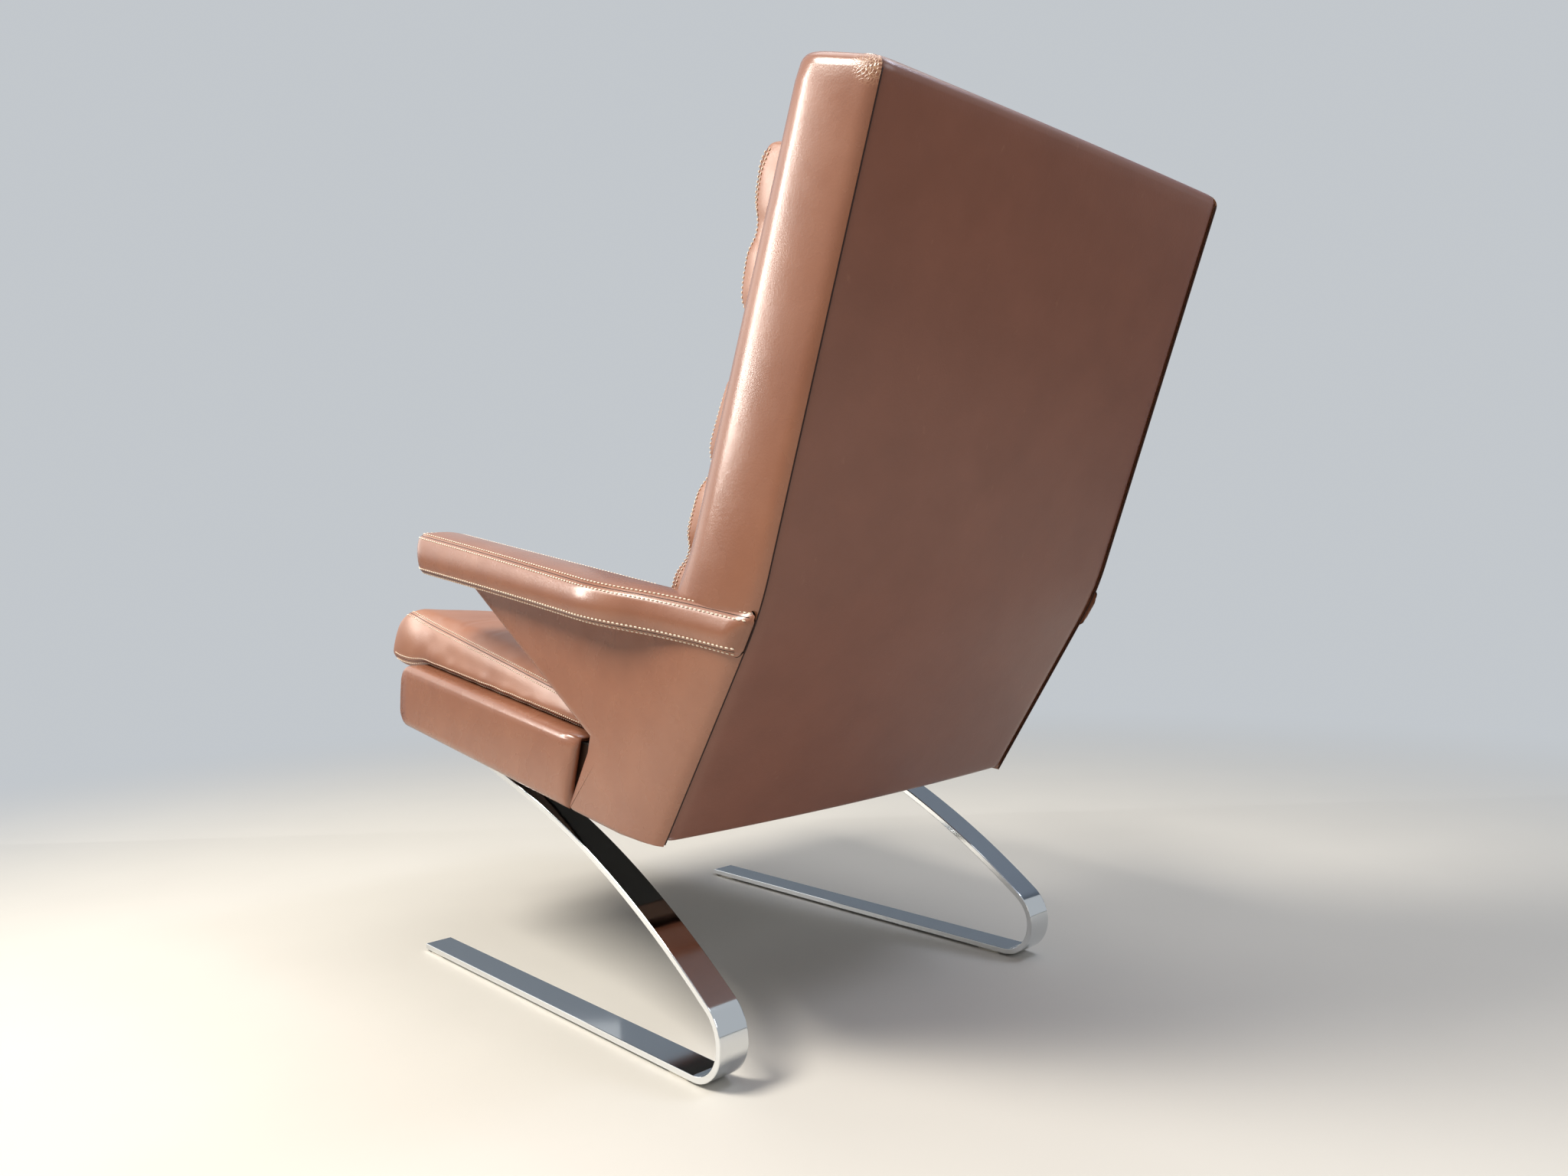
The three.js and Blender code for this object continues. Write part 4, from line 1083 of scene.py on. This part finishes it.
@dataclass
class Armrest:
    """A padded armrest that widens to a kink and runs flush into the side panel."""

    front: float = 102.0
    rear: float = 784.0
    inner: float = 278.0
    outer_front: float = 343.0
    outer_kink: float = 355.0
    kink: float = 574.0
    kink_ease: float = 40.0
    taper: float = 92.0
    outer_rear: float = 310.0
    top: Spot = (624.5, 510.5)
    bottom: Spot = (567.5, 468.5)
    edge: float = 9.0
    nose: float = 30.0
    nose_draw: float = 0.5
    tail: float = 16.0
    tail_draw: float = 4.0
    crown: float = 5.0
    belly: float = 6.0
    core_outer: float = 300.3
    core_depth: float = 136.3
    seam: float = 308.3
    seam_depth: float = 27.6
    groove: float = 0.7
    per_corner: int = 8
    per_side: int = 8
    end_steps: int = 6
    long_steps: int = 90
    row_offset: float = 1.9
    lower_rise: float = 2.2
    inner_reach: float = 0.72

    def level(self, ends: Spot, depth: float) -> float:
        """Height of the pad's top or bottom at one depth."""
        return ends[0] + (ends[1] - ends[0]) * (depth - self.front) / (self.rear - self.front)

    def _outer_line(self, depth: float) -> float:
        """How far out the pad's side stands before its kink is softened."""
        if depth < self.kink:
            share = max(0.0, (depth - self.front) / (self.kink - self.front))
            return self.outer_front + (self.outer_kink - self.outer_front) * share * share
        fade = math.exp((self.kink - depth) / self.taper)
        return self.outer_rear + (self.outer_kink - self.outer_rear) * fade

    def outer(self, depth: float) -> float:
        """How far out the pad's side stands."""
        shares = [k / 5 for k in range(-5, 6)]
        return sum(self._outer_line(depth + s * self.kink_ease) for s in shares) / len(shares)

    def _section(self, depth: float, inset: float, side: Side) -> list[Vector]:
        """One section of the pad, drawn in all round near its ends."""
        share = (depth - self.front) / (self.rear - self.front)
        nose = min(1.0, (depth - self.front) / self.nose)
        draw = self.nose * (1 - math.sqrt(1 - (1 - nose) ** 2)) * self.nose_draw
        tail = max(0.0, 1 - (self.rear - depth) / self.tail)
        inner = self.inner + draw + inset
        outer = self.outer(depth) - draw - inset - self.tail_draw * (1 - math.sqrt(1 - tail * tail))
        outer = max(outer, self.outer_rear)
        top, bottom = self.level(self.top, depth) - inset, self.level(self.bottom, depth) + inset
        half_width, half_height = (outer - inner) / 2, (top - bottom) / 2
        ring = soft_ring(half_width, half_height, self.edge, self.per_corner, self.per_side)
        points = []
        for i, (x, h) in enumerate(ring):
            if i % (self.per_corner + self.per_side) == self.per_corner // 2:
                sunk = 1 - self.groove / math.hypot(x, h)
                x, h = x * sunk, h * sunk
            swell = self.belly * max(0.0, 1 - (h / half_height) ** 2) if x > 0 else 0.0
            rise = self.crown * (1 - (x / half_width) ** 2) * nose if h > 0 else 0.0
            lean = (h - half_height) * math.tan(VIEW.lower_lean) * share**4
            y, z = depth + lean, (top + bottom) / 2 + h + rise
            across = max((outer + inner) / 2 + x + swell * (1 - tail), self._room(y, z))
            points.append(VIEW.level(side.value * across, y, z))
        return points

    def _room(self, depth: float, height: float) -> float:
        """How far in the pad may reach at one place, beside the side panel's band and seam."""
        y, z = depth - VIEW.bend[0], height - VIEW.bend[1]
        lean = VIEW.upper_lean if z > 0 else VIEW.lower_lean
        ahead = z * math.sin(lean) - y * math.cos(lean)
        if ahead < self.seam_depth:
            return self.seam
        return self.core_outer if ahead < self.core_depth else 0.0

    def skin(self, side: Side) -> Skin:
        """The pad's skin from its rounded front to its rear."""
        turns, ends = quarter(self.end_steps), quarter(3, 1)
        stations = [(self.front + self.edge * b, self.edge * a) for a, b in turns]
        start, end = self.front + self.edge, self.rear - self.tail_draw
        shares = [i / self.long_steps for i in range(1, self.long_steps + 1)]
        stations += [(start + (end - start) * share, 0.0) for share in shares]
        stations += [(self.rear - self.tail_draw * a, self.tail_draw * b) for a, b in ends]
        return Skin([self._section(depth, inset, side) for depth, inset in stations])

    def build(self, side: Side, hide: Material, thread: Material, seam_shade: Material) -> None:
        """Makes the pad and its double-stitched seams.

        Args:
            side: The side of the chair.
            hide: The leather.
            thread: The thread.
            seam_shade: The seams' painted shade, dark strips along their lines.
        """
        skin = self.skin(side)
        node = f"{side.label}_armrest"
        upholster(skin.piece(f"{node}_pad", hide), node)
        threads = {"pitch": 6.2 * MM, "length": 4.9 * MM, "proud": 0.6 * MM}
        seams = Seams(thread, seam_shade, self.row_offset, **threads)
        seams.sew(node, [partial(self._row, skin, upper) for upper in (True, False)])

    def _row(self, skin: Skin, upper: bool, offset: float) -> Row:
        """A row of a seam: forward outside, across the front, back inside.

        Args:
            skin: The pad's skin.
            upper: Whether it is the upper seam.
            offset: How far beside the seam the row lies.

        Returns:
            Points on the leather with their normals.
        """
        side = self.per_corner + self.per_side
        lift = offset if upper else -offset
        outer = self.per_corner / 2 + (0 if upper else 3 * side + self.lower_rise) + lift
        inner = self.per_corner / 2 + (1 if upper else 2) * side - lift
        across = self.end_steps / 2 + offset * 0.8
        last = self.end_steps + self.long_steps
        reach = self.end_steps + self.long_steps * self.inner_reach
        path = [(last - (last - across) * i / 150, outer) for i in range(151)]
        path += [(across, outer + (inner - outer) * i / 24) for i in range(1, 24)]
        path += [(across + (reach - across) * i / 110, inner) for i in range(111)]
        return skin.row(path)


@dataclass
class SidePanel:
    """The padded side: a rolled band beside the cushions and a plate with its wing below."""

    face: float = 318.0
    seam: float = 308.0
    band_inner: float = 271.0
    band_low: float = 136.0
    band_high: float = 121.0
    band_top: float = 519.0
    band_foot: float = -165.0
    band_steps: int = 44
    roll_steps: int = 14
    front_roll: float = 50.0
    front_roll_width: float = 40.0
    rear_roll: float = 85.0
    seam_turn: float = 15.0
    seam_drop: float = 3.0
    top_roll: float = 14.0
    rebate: float = 27.6
    inner_round: float = 5.0
    puff: float = 1.5
    plate_thickness: float = 23.0
    plate_edge: float = 8.0
    plate_rebate: float = 27.4
    foot_round: float = 13.0
    plate_low: float = -309.0
    plate_high: float = -47.0
    bottom: Spot = (547.0, 259.6)
    foot: Spot = (438.5, 275.4)
    notch_foot: Spot = (486.0, 350.5)
    notch: Spot = (491.0, 367.5)
    wing_tip: Spot = (192.0, 561.7)
    pad_overlap: float = 4.0
    cuts: tuple[float, ...] = (1.2, 3, 5, 8, 12, 18, 27.3, 27.5, 38, 50, 66, 85, *range(110, 480, 26))

    def surface(self, depth: float) -> float:
        """How far out the side's face stands at one distance forward of the back's rear face."""
        short = max(0.0, 1 - max(0.0, depth) / self.rear_roll)
        turn = max(0.0, 1 - max(0.0, depth) / self.seam_turn)
        return self.face + (self.seam - self.face) * short * short - self.seam_drop * turn**2.2

    def _band_section(self, front: float, inset: float) -> list[Spot]:
        """Depth and distance across round the band, drawn in all round at its end."""
        start, r, inner = front - self.front_roll, self.inner_round, self.band_inner
        depths = [start * (i / self.roll_steps) ** 1.6 for i in range(self.roll_steps + 1)]
        ring = [(depth, self.surface(depth)) for depth in depths]
        rolls = quarter(self.roll_steps, 1)
        ring += [(front - self.front_roll * a, self.face - self.front_roll_width * b) for a, b in rolls]
        ring += [(front - r * come, inner + r * left) for left, come in quarter(4)]
        ring += [(self.rebate + (front - r - self.rebate) * (1 - i / 6), inner) for i in range(1, 7)]
        ring += [(self.rebate, inner + (self.seam - inner) * i / 3) for i in range(1, 4)]
        middle = (front / 2, (self.face + inner) / 2)
        halves = (front / 2, (self.face - inner) / 2)
        drawn = [1 - inset / half for half in halves]
        return [tuple(middle[k] + (point[k] - middle[k]) * drawn[k] for k in (0, 1)) for point in ring]

    def _foot(self, x: float, depth: float, arm: Armrest) -> float:
        """How far down the back one line of the band reaches: to the cushions' foot or into the pad."""
        if x <= arm.core_outer:
            return self.band_foot
        foot = 0.0
        for _ in range(8):
            point = VIEW.on_back(x, foot, depth) / MM
            foot -= point.z - arm.level(arm.top, point.y + FRONT_SHIFT) + self.pad_overlap
        return foot

    def _band(self, side: Side, arm: Armrest) -> Skin:
        """The band's skin, from the pad that carries it to its rounded top."""
        low = [(depth, x, self._foot(x, depth, arm)) for depth, x in self._band_section(self.band_low, 0)]
        sections = []
        for i in range(self.band_steps):
            line = []
            for depth, x, foot in low:
                along = foot + (self.band_top - self.top_roll - foot) * (i / self.band_steps)
                thin = (self.band_low - self.band_high) * max(0.0, along) / self.band_top
                line.append(VIEW.on_back(side.value * x, along, depth - thin * depth / self.band_low))
            sections.append(line)
        for left, come in quarter(6):
            along = self.band_top - self.top_roll * left
            ring = self._band_section(self.band_high, self.top_roll * come)
            sections.append([VIEW.on_back(side.value * x, along, depth) for depth, x in ring])
        return Skin(sections)

    def _plate(self, side: Side, arm: Armrest) -> BMesh:
        """The plate and its wing: an outline given its thickness, with rounded edges and rear roll.

        Args:
            side: The side of the chair.
            arm: The armrest over the wing.

        Returns:
            The form.
        """
        bm = bmesh.new()
        rear = [VIEW.on_back(self.face, along, 0) for along in (self.plate_low, self.plate_high)]
        corners = (self.wing_tip, self.notch, self.notch_foot, self.foot, self.bottom)
        verts = [bm.verts.new(point) for point in (*rear, *(VIEW.level(self.face, *c) for c in corners))]
        bm.faces.new(verts)
        bevel = {"segments": 5, "profile": 0.5, "material": -1}
        bmesh.ops.bevel(bm, geom=[verts[5]], offset=self.foot_round * MM, affect="VERTICES", **bevel)
        made = bmesh.ops.extrude_face_region(bm, geom=bm.faces[:])["geom"]
        far = [g for g in made if isinstance(g, BMVert)]
        bmesh.ops.translate(bm, vec=(-self.plate_thickness * MM, 0, 0), verts=far)
        bmesh.ops.recalc_face_normals(bm, faces=bm.faces)
        rim = [
            edge
            for edge in bm.edges
            if all(abs(v.co.x - self.face * MM) < 1e-6 for v in edge.verts)
            and any(self._depth(v.co) > 3 for v in edge.verts)
            and any(v.co.z / MM < arm.level(arm.bottom, v.co.y / MM + FRONT_SHIFT) for v in edge.verts)
        ]
        bmesh.ops.bevel(bm, geom=rim, offset=self.plate_edge * MM, affect="EDGES", **bevel)
        back, up = forward(VIEW.lower_lean), upright(VIEW.lower_lean)
        start = VIEW.on_back(0, self.plate_low, 0)
        for depth in self.cuts:
            sliced(bm, start + back * depth * MM, back)
        for along in range(14, 320, 22):
            sliced(bm, start + up * along * MM, up)
        for vert in bm.verts:
            depth = self._depth(vert.co)
            x = vert.co.x / MM
            swell = self.puff * max(0.0, min(1.0, depth / 120)) * (x - 300) / 18 if x > 300 else 0.0
            low = self.face - self.plate_thickness
            if depth < self.plate_rebate:
                low = self.seam - self.seam_drop * (1 - max(0.0, depth) / self.plate_rebate)
            vert.co.x = side.value * max(low, min(x, self.surface(depth)) + swell) * MM
        bmesh.ops.remove_doubles(bm, verts=bm.verts, dist=0.02 * MM)
        bmesh.ops.recalc_face_normals(bm, faces=bm.faces)
        return bm

    def _depth(self, point: Vector) -> float:
        """How far a point lies forward of the lower back's rear face, in millimetres."""
        away = point / MM
        y, z = away.y + FRONT_SHIFT - VIEW.bend[0], away.z - VIEW.bend[1]
        return -y * math.cos(VIEW.lower_lean) + z * math.sin(VIEW.lower_lean)

    def build(self, side: Side, arm: Armrest, hide: Material) -> None:
        """Makes the band and the plate.

        Args:
            side: The side of the chair.
            arm: The armrest that the band stands on.
            hide: The leather.
        """
        node = f"{side.label}_side_panel"
        upholster(self._band(side, arm).piece(f"{node}_band", hide, math.radians(60)), node)
        plate = new_piece(f"{node}_plate", self._plate(side, arm), hide, sharp=math.radians(50))
        upholster(plate, node)


@dataclass
class BackPanel:
    """The padded back, gently crowned and bent once at armrest height."""

    half_width: float = 303.6
    low: float = -309.0
    high: float = 519.0
    thickness: float = 27.0
    crown: float = 6.0
    end_round: float = 12.0
    side_round: float = 17.0
    side_drop: float = 6.5
    side_rim: float = 270.0
    seam_place: Spot = (303.7, 0.9)
    seam_width: float = 2.8
    seam_steps: int = 120
    lip: float = 54.0
    lip_thickness: float = 16.0
    near_side: tuple[float, ...] = (0.0, 0.2, 0.6, 1.4, 2.6, 4.5, 7.5, 11.0, 15.0, 22.0, 35.5, 36.5, 60.0)
    middle_steps: int = 14

    def _outline(self, share: float) -> list[Vector]:
        """One section of the panel: up its rear face, over its top lip, down inside."""
        edge = min(1.0, self.half_width * (1 - abs(share)) / self.side_round)
        drop = self.side_drop * (1 - math.sqrt(max(0.0, 1 - (1 - edge) ** 2)))
        rear = drop - self.crown * (1 - share * share)
        r, x = self.end_round, self.half_width * share
        turns, long = quarter(6), self.high - self.low - 2 * r
        outline = [(self.low + r * come, rear + r * left) for left, come in turns]
        outline += [(self.low + r + long * i / 60, rear) for i in range(1, 60)]
        outline += [(self.high - r * left, rear + r * come) for left, come in turns]
        top, foot = self.high - self.lip_thickness, self.low + self.lip_thickness
        inner = [(self.high, self.lip), (top, self.lip)]
        inner += [(top - (top - foot) * i / 12, self.thickness) for i in range(13)]
        inner += [(foot, self.lip), (self.low, self.lip)]
        if abs(x) > self.side_rim:
            inner = [(along, min(depth, self.thickness)) for along, depth in inner]
        return [VIEW.on_back(x, along, depth) for along, depth in [*outline, *inner]]

    def build(self, hide: Material, seam_shade: Material) -> None:
        """Makes the panel and the dark strips of painted seam shade down its sides.

        Args:
            hide: The leather.
            seam_shade: The seams' painted shade, dark strips along their lines.
        """
        side = [1 - mm / self.half_width for mm in self.near_side]
        side += [side[-1] * (1 - i / self.middle_steps) for i in range(1, self.middle_steps)]
        skin = Skin([self._outline(share) for share in [*(-s for s in side), 0.0, *reversed(side)]])
        panel = skin.piece("back_panel_leather", hide, math.radians(50))
        upholster(panel, "back_panel")
        x, depth = self.seam_place
        rows = []
        for value in (side.value for side in Side):
            row = []
            for i in range(self.seam_steps + 1):
                along = self.low + 2 + (self.high - self.low - 6) * i / self.seam_steps
                here = VIEW.on_back(value * x, along, depth)
                row.append((here, (VIEW.on_back(value * (x + 1), along, depth - 2) - here).normalized()))
            rows.append(row)
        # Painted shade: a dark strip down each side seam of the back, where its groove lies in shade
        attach(seam_shade_strip("back_panel_seam_shade", rows, self.seam_width * MM, seam_shade), "seat")


@dataclass
class SeatBox:
    """The padded wrap round the seat's frame, open below and behind."""

    half_width: float = 310.0
    front: float = -50.0
    rear_low: float = 423.0
    rear_top: float = 438.0
    low: float = 4.6
    top: float = 97.2
    front_round: float = 24.0
    edge_round: float = 8.0
    wall: float = 6.0
    puff: float = 1.5

    def build(self, hide: Material) -> None:
        """Makes the wrap."""
        bm = bmesh.new()
        bmesh.ops.create_cube(bm, size=1.0)
        for vert in bm.verts:
            upper = vert.co.z > 0
            rear = self.rear_top if upper else self.rear_low
            depth = self.front if vert.co.y < 0 else rear
            vert.co = VIEW.on_seat(2 * vert.co.x * self.half_width, depth, self.top if upper else self.low)
        bevel = {"profile": 0.5, "material": -1, "affect": "EDGES"}
        limit = VIEW.on_seat(0, 100, 50).y
        crosswise = [e for e in bm.edges if abs(e.verts[0].co.x - e.verts[1].co.x) > 0.1]
        front = [e for e in crosswise if e.verts[0].co.y < limit]
        bmesh.ops.bevel(bm, geom=front, offset=self.front_round * MM, segments=9, **bevel)
        wide = self.half_width * MM
        rim = [
            e
            for e in bm.edges
            if all(abs(abs(v.co.x) - wide) < 1e-6 for v in e.verts)
            and abs(e.verts[0].co.x - e.verts[1].co.x) < 0.1
        ]
        bmesh.ops.bevel(bm, geom=rim, offset=self.edge_round * MM, segments=5, **bevel)
        bm.normal_update()
        rearward, upward = -forward(VIEW.seat_pitch), upright(VIEW.seat_pitch)
        large = [f for f in bm.faces if f.calc_area() > 0.02]
        bare = [f for f in large if f.normal.dot(upward) < -0.9 or f.normal.dot(rearward) > 0.9]
        bmesh.ops.delete(bm, geom=bare, context="FACES")
        for depth in range(-20, 420, 30):
            sliced(bm, VIEW.on_seat(0, depth, 50), rearward)
        for x in range(-280, 281, 56):
            sliced(bm, Vector((x * MM, 0, 0)), Vector((1, 0, 0)))
        for rise in (18, 34, 50, 66, 82):
            sliced(bm, VIEW.on_seat(0, 0, rise), upward)
        middle, half = VIEW.on_seat(0, 200, 50), (self.top - self.low) / 2
        for vert in bm.verts:
            if abs(abs(vert.co.x) - wide) < 1e-5:
                away = (vert.co - middle).dot(upward) / MM / half
                vert.co.x *= 1 + self.puff * max(0.0, 1 - away * away) / self.half_width
        bmesh.ops.recalc_face_normals(bm, faces=bm.faces)
        piece = new_piece("seat_box_wrap", bm, hide)
        wall = piece.modifiers.new("wall", "SOLIDIFY")
        wall.thickness = self.wall * MM
        wall.offset = -1
        upholster(baked(piece), "seat_box_cover")


# The pieces that keep the frame's own form: how their names end, their finish and their slot
CARCASS = (
    ("_glide", GLIDE_PLASTIC, "glide_plastic"),
    ("_mount_plate", ZINC, "fastener_steel"),
    ("_bolt", ZINC, "fastener_steel"),
    ("_rail", BEECH, "hardwood"),
    ("_stile", BEECH, "hardwood"),
    ("_webbing", WEBBING, "webbing"),
    ("dust_cover", DUST_CLOTH, "dust_cloth"),
)


def dress_carcass() -> None:
    """Gives each node that keeps its own form its finish."""
    made: dict[str, Material] = {}
    for ending, finish, slot in CARCASS:
        for name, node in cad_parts.items():
            if name.endswith(ending):
                if finish.name not in made:
                    made[finish.name] = finish.make()
                node.data.materials.clear()
                node.data.materials.append(made[finish.name])


@dataclass(frozen=True)
class Lamp:
    """A soft box that faces the chair and isn't seen itself."""

    name: str
    place: tuple[float, float, float]
    width: float
    height: float
    power: float
    colour: str
    shine_only: bool = False

    def build(self) -> None:
        """Adds the lamp."""
        light = bpy.data.lights.new(self.name, "AREA")
        light.shape = "RECTANGLE"
        light.size, light.size_y = self.width, self.height
        light.energy = self.power
        light.color = linear(self.colour)[:3]
        lamp = bpy.data.objects.new(self.name, light)
        bpy.context.scene.collection.objects.link(lamp)
        lamp.location = self.place
        aim = Vector((0, 0, 0.5)) - Vector(self.place)
        lamp.rotation_euler = aim.to_track_quat("-Z", "Y").to_euler()
        lamp.visible_camera = False
        lamp.visible_diffuse = not self.shine_only


LAMPS = (
    Lamp("tall_window", (2.25, -2.2, 1.9), 0.5, 1.9, 98.0, "#fff7ee", shine_only=True),
    Lamp("wide_window", (0.7, -3.0, 1.7), 1.8, 2.0, 13.0, "#fff7ee"),
    Lamp("skylight", (2.0, -0.6, 2.9), 1.2, 1.2, 138.0, "#fff9f0"),
    Lamp("ceiling", (-0.3, 0.3, 3.2), 2.4, 2.4, 34.0, "#ffffff"),
    Lamp("room", (-0.3, 2.7, 1.8), 1.4, 1.0, 15.0, "#f4f6ff"),
    Lamp("high_window", (-1.3, 1.55, 3.3), 0.8, 0.8, 26.0, "#dfe8ff"),
)


@dataclass
class Studio:
    """A pale floor, soft lamps and the camera."""

    eye: tuple[float, float, float] = (1043.3, 1622.5, 553.7)
    yaw: float = math.radians(227.28)
    pitch: float = math.radians(0.8)
    roll: float = math.radians(1.69)
    lens: float = 25.961
    floor_reach: float = 40.0
    floor_fade: Spot = (0.9, 3.0)
    world_colour: str = "#ccd1d6"
    world_strength: float = 0.23
    shown_strength: float = 0.9

    def build(self) -> None:
        """Sets the floor, the lamps, the cards, the world and the camera."""
        self._floor()
        for lamp in LAMPS:
            lamp.build()
        self._card("low_wall", (1.0, -2.16), (-0.37, -0.92), 0.45)
        self._card("far_wall", (-0.37, -0.92), (-3.1, 1.55), 2.4)
        self._world()
        self._camera()

    def _floor(self) -> None:
        """A wide concrete floor that fades to the plain background far from the chair."""
        bm = bmesh.new()
        bmesh.ops.create_grid(bm, x_segments=1, y_segments=1, size=self.floor_reach)
        material = CONCRETE.make()
        nodes = {node.bl_idname: node for node in material.node_tree.nodes}
        away = add_node(material, "VectorMath", {"operation": "LENGTH"}, {0: object_place(material)})
        far = ramp(material, away.outputs["Value"], self.floor_fade, kind="SMOOTHSTEP")
        seen = add_node(material, "LightPath").outputs["Is Camera Ray"]
        share = maths(material, "MULTIPLY", far, seen)
        shown = {"Color": linear(self.world_colour), "Strength": self.shown_strength}
        glow = add_node(material, "Emission", shown).outputs["Emission"]
        near = nodes["ShaderNodeBsdfPrincipled"].outputs["BSDF"]
        mixed = add_node(material, "MixShader", links={0: share, 1: near, 2: glow}).outputs["Shader"]
        join(material, nodes["ShaderNodeOutputMaterial"], {"Surface": mixed})
        new_piece("studio_floor", bm, material, smooth=False)

    def _card(self, name: str, start: Spot, end: Spot, height: float) -> None:
        """A dark standing card that only polished surfaces mirror.

        Args:
            name: The card's name.
            start: Where one lower corner stands.
            end: Where the other lower corner stands.
            height: The card's height.
        """
        bm = bmesh.new()
        bmesh.ops.create_grid(bm, x_segments=1, y_segments=1, size=0.5)
        for vert in bm.verts:
            share, rise = vert.co.x + 0.5, (vert.co.y + 0.5) * height
            vert.co = Vector(start).lerp(Vector(end), share).to_3d() + Vector((0, 0, rise))
        card = new_piece(name, bm, CARD_PAINT.make(), smooth=False)
        card.visible_camera = card.visible_diffuse = card.visible_shadow = False

    def _world(self) -> None:
        """Even light from all round, and a pale background for the eye and for mirrors."""
        world = bpy.data.worlds.new("studio_world")
        bpy.context.scene.world = world
        world.use_nodes = True
        world.node_tree.nodes.clear()
        path = add_node(world, "LightPath").outputs
        seen = maths(world, "MAXIMUM", path["Is Camera Ray"], path["Is Glossy Ray"])
        links = {0: maths(world, "MAXIMUM", seen, path["Is Transmission Ray"])}
        for socket, strength in ((1, self.world_strength), (2, self.shown_strength)):
            plain = {"Color": linear(self.world_colour), "Strength": strength}
            links[socket] = add_node(world, "Background", plain).outputs["Background"]
        mixed = add_node(world, "MixShader", links=links).outputs["Shader"]
        add_node(world, "OutputWorld", links={"Surface": mixed})

    def _camera(self) -> None:
        """Sets the camera where the photograph was taken from."""
        data = bpy.data.cameras.new("camera")
        data.lens = self.lens
        data.sensor_fit = "HORIZONTAL"
        data.sensor_width = 36
        data.clip_start, data.clip_end = 0.01, 100
        camera = bpy.data.objects.new("camera", data)
        bpy.context.scene.collection.objects.link(camera)
        bpy.context.scene.camera = camera
        flat = math.cos(self.pitch)
        ahead = Vector((math.cos(self.yaw) * flat, math.sin(self.yaw) * flat, -math.sin(self.pitch)))
        right = Vector((math.sin(self.yaw), -math.cos(self.yaw), 0))
        down = ahead.cross(right)
        across = right * math.cos(self.roll) + down * math.sin(self.roll)
        under = down * math.cos(self.roll) - right * math.sin(self.roll)
        turn = Matrix((across, -under, -ahead)).transposed().to_4x4()
        camera.matrix_world = Matrix.Translation(VIEW.level(*self.eye)) @ turn


def main() -> None:
    """Builds the chair's looks piece by piece."""
    logging.basicConfig(level=logging.INFO, format="%(message)s")
    worn = tuple(tuple(VIEW.on_back(side.value * 310, 516, 8)) for side in Side)
    hide = Cowhide(worn_spots=worn).make()
    # The seams' dark strips are painted shade
    thread, seam_shade = THREAD.make(), SEAM_SHADE.make()
    dress_carcass()
    Skids().build(CHROME.make())
    arm, panel = Armrest(), SidePanel()
    for side in Side:
        arm.build(side, hide, thread, seam_shade)
        panel.build(side, arm, hide)
        log.info("side %s", side.label)
    # The back panel takes the darker copy of the hide: painted shade
    BackPanel().build(SHADED_BACK_HIDE.make(), seam_shade)
    SeatBox().build(hide)
    # The cushions take the lighter copy of the hide: painted light
    Cushions().build(LIT_CUSHION_HIDE.make(), thread, seam_shade)
    Studio().build()
    bpy.context.scene.view_settings.view_transform = "Standard"


if __name__ == "__main__":
    main()
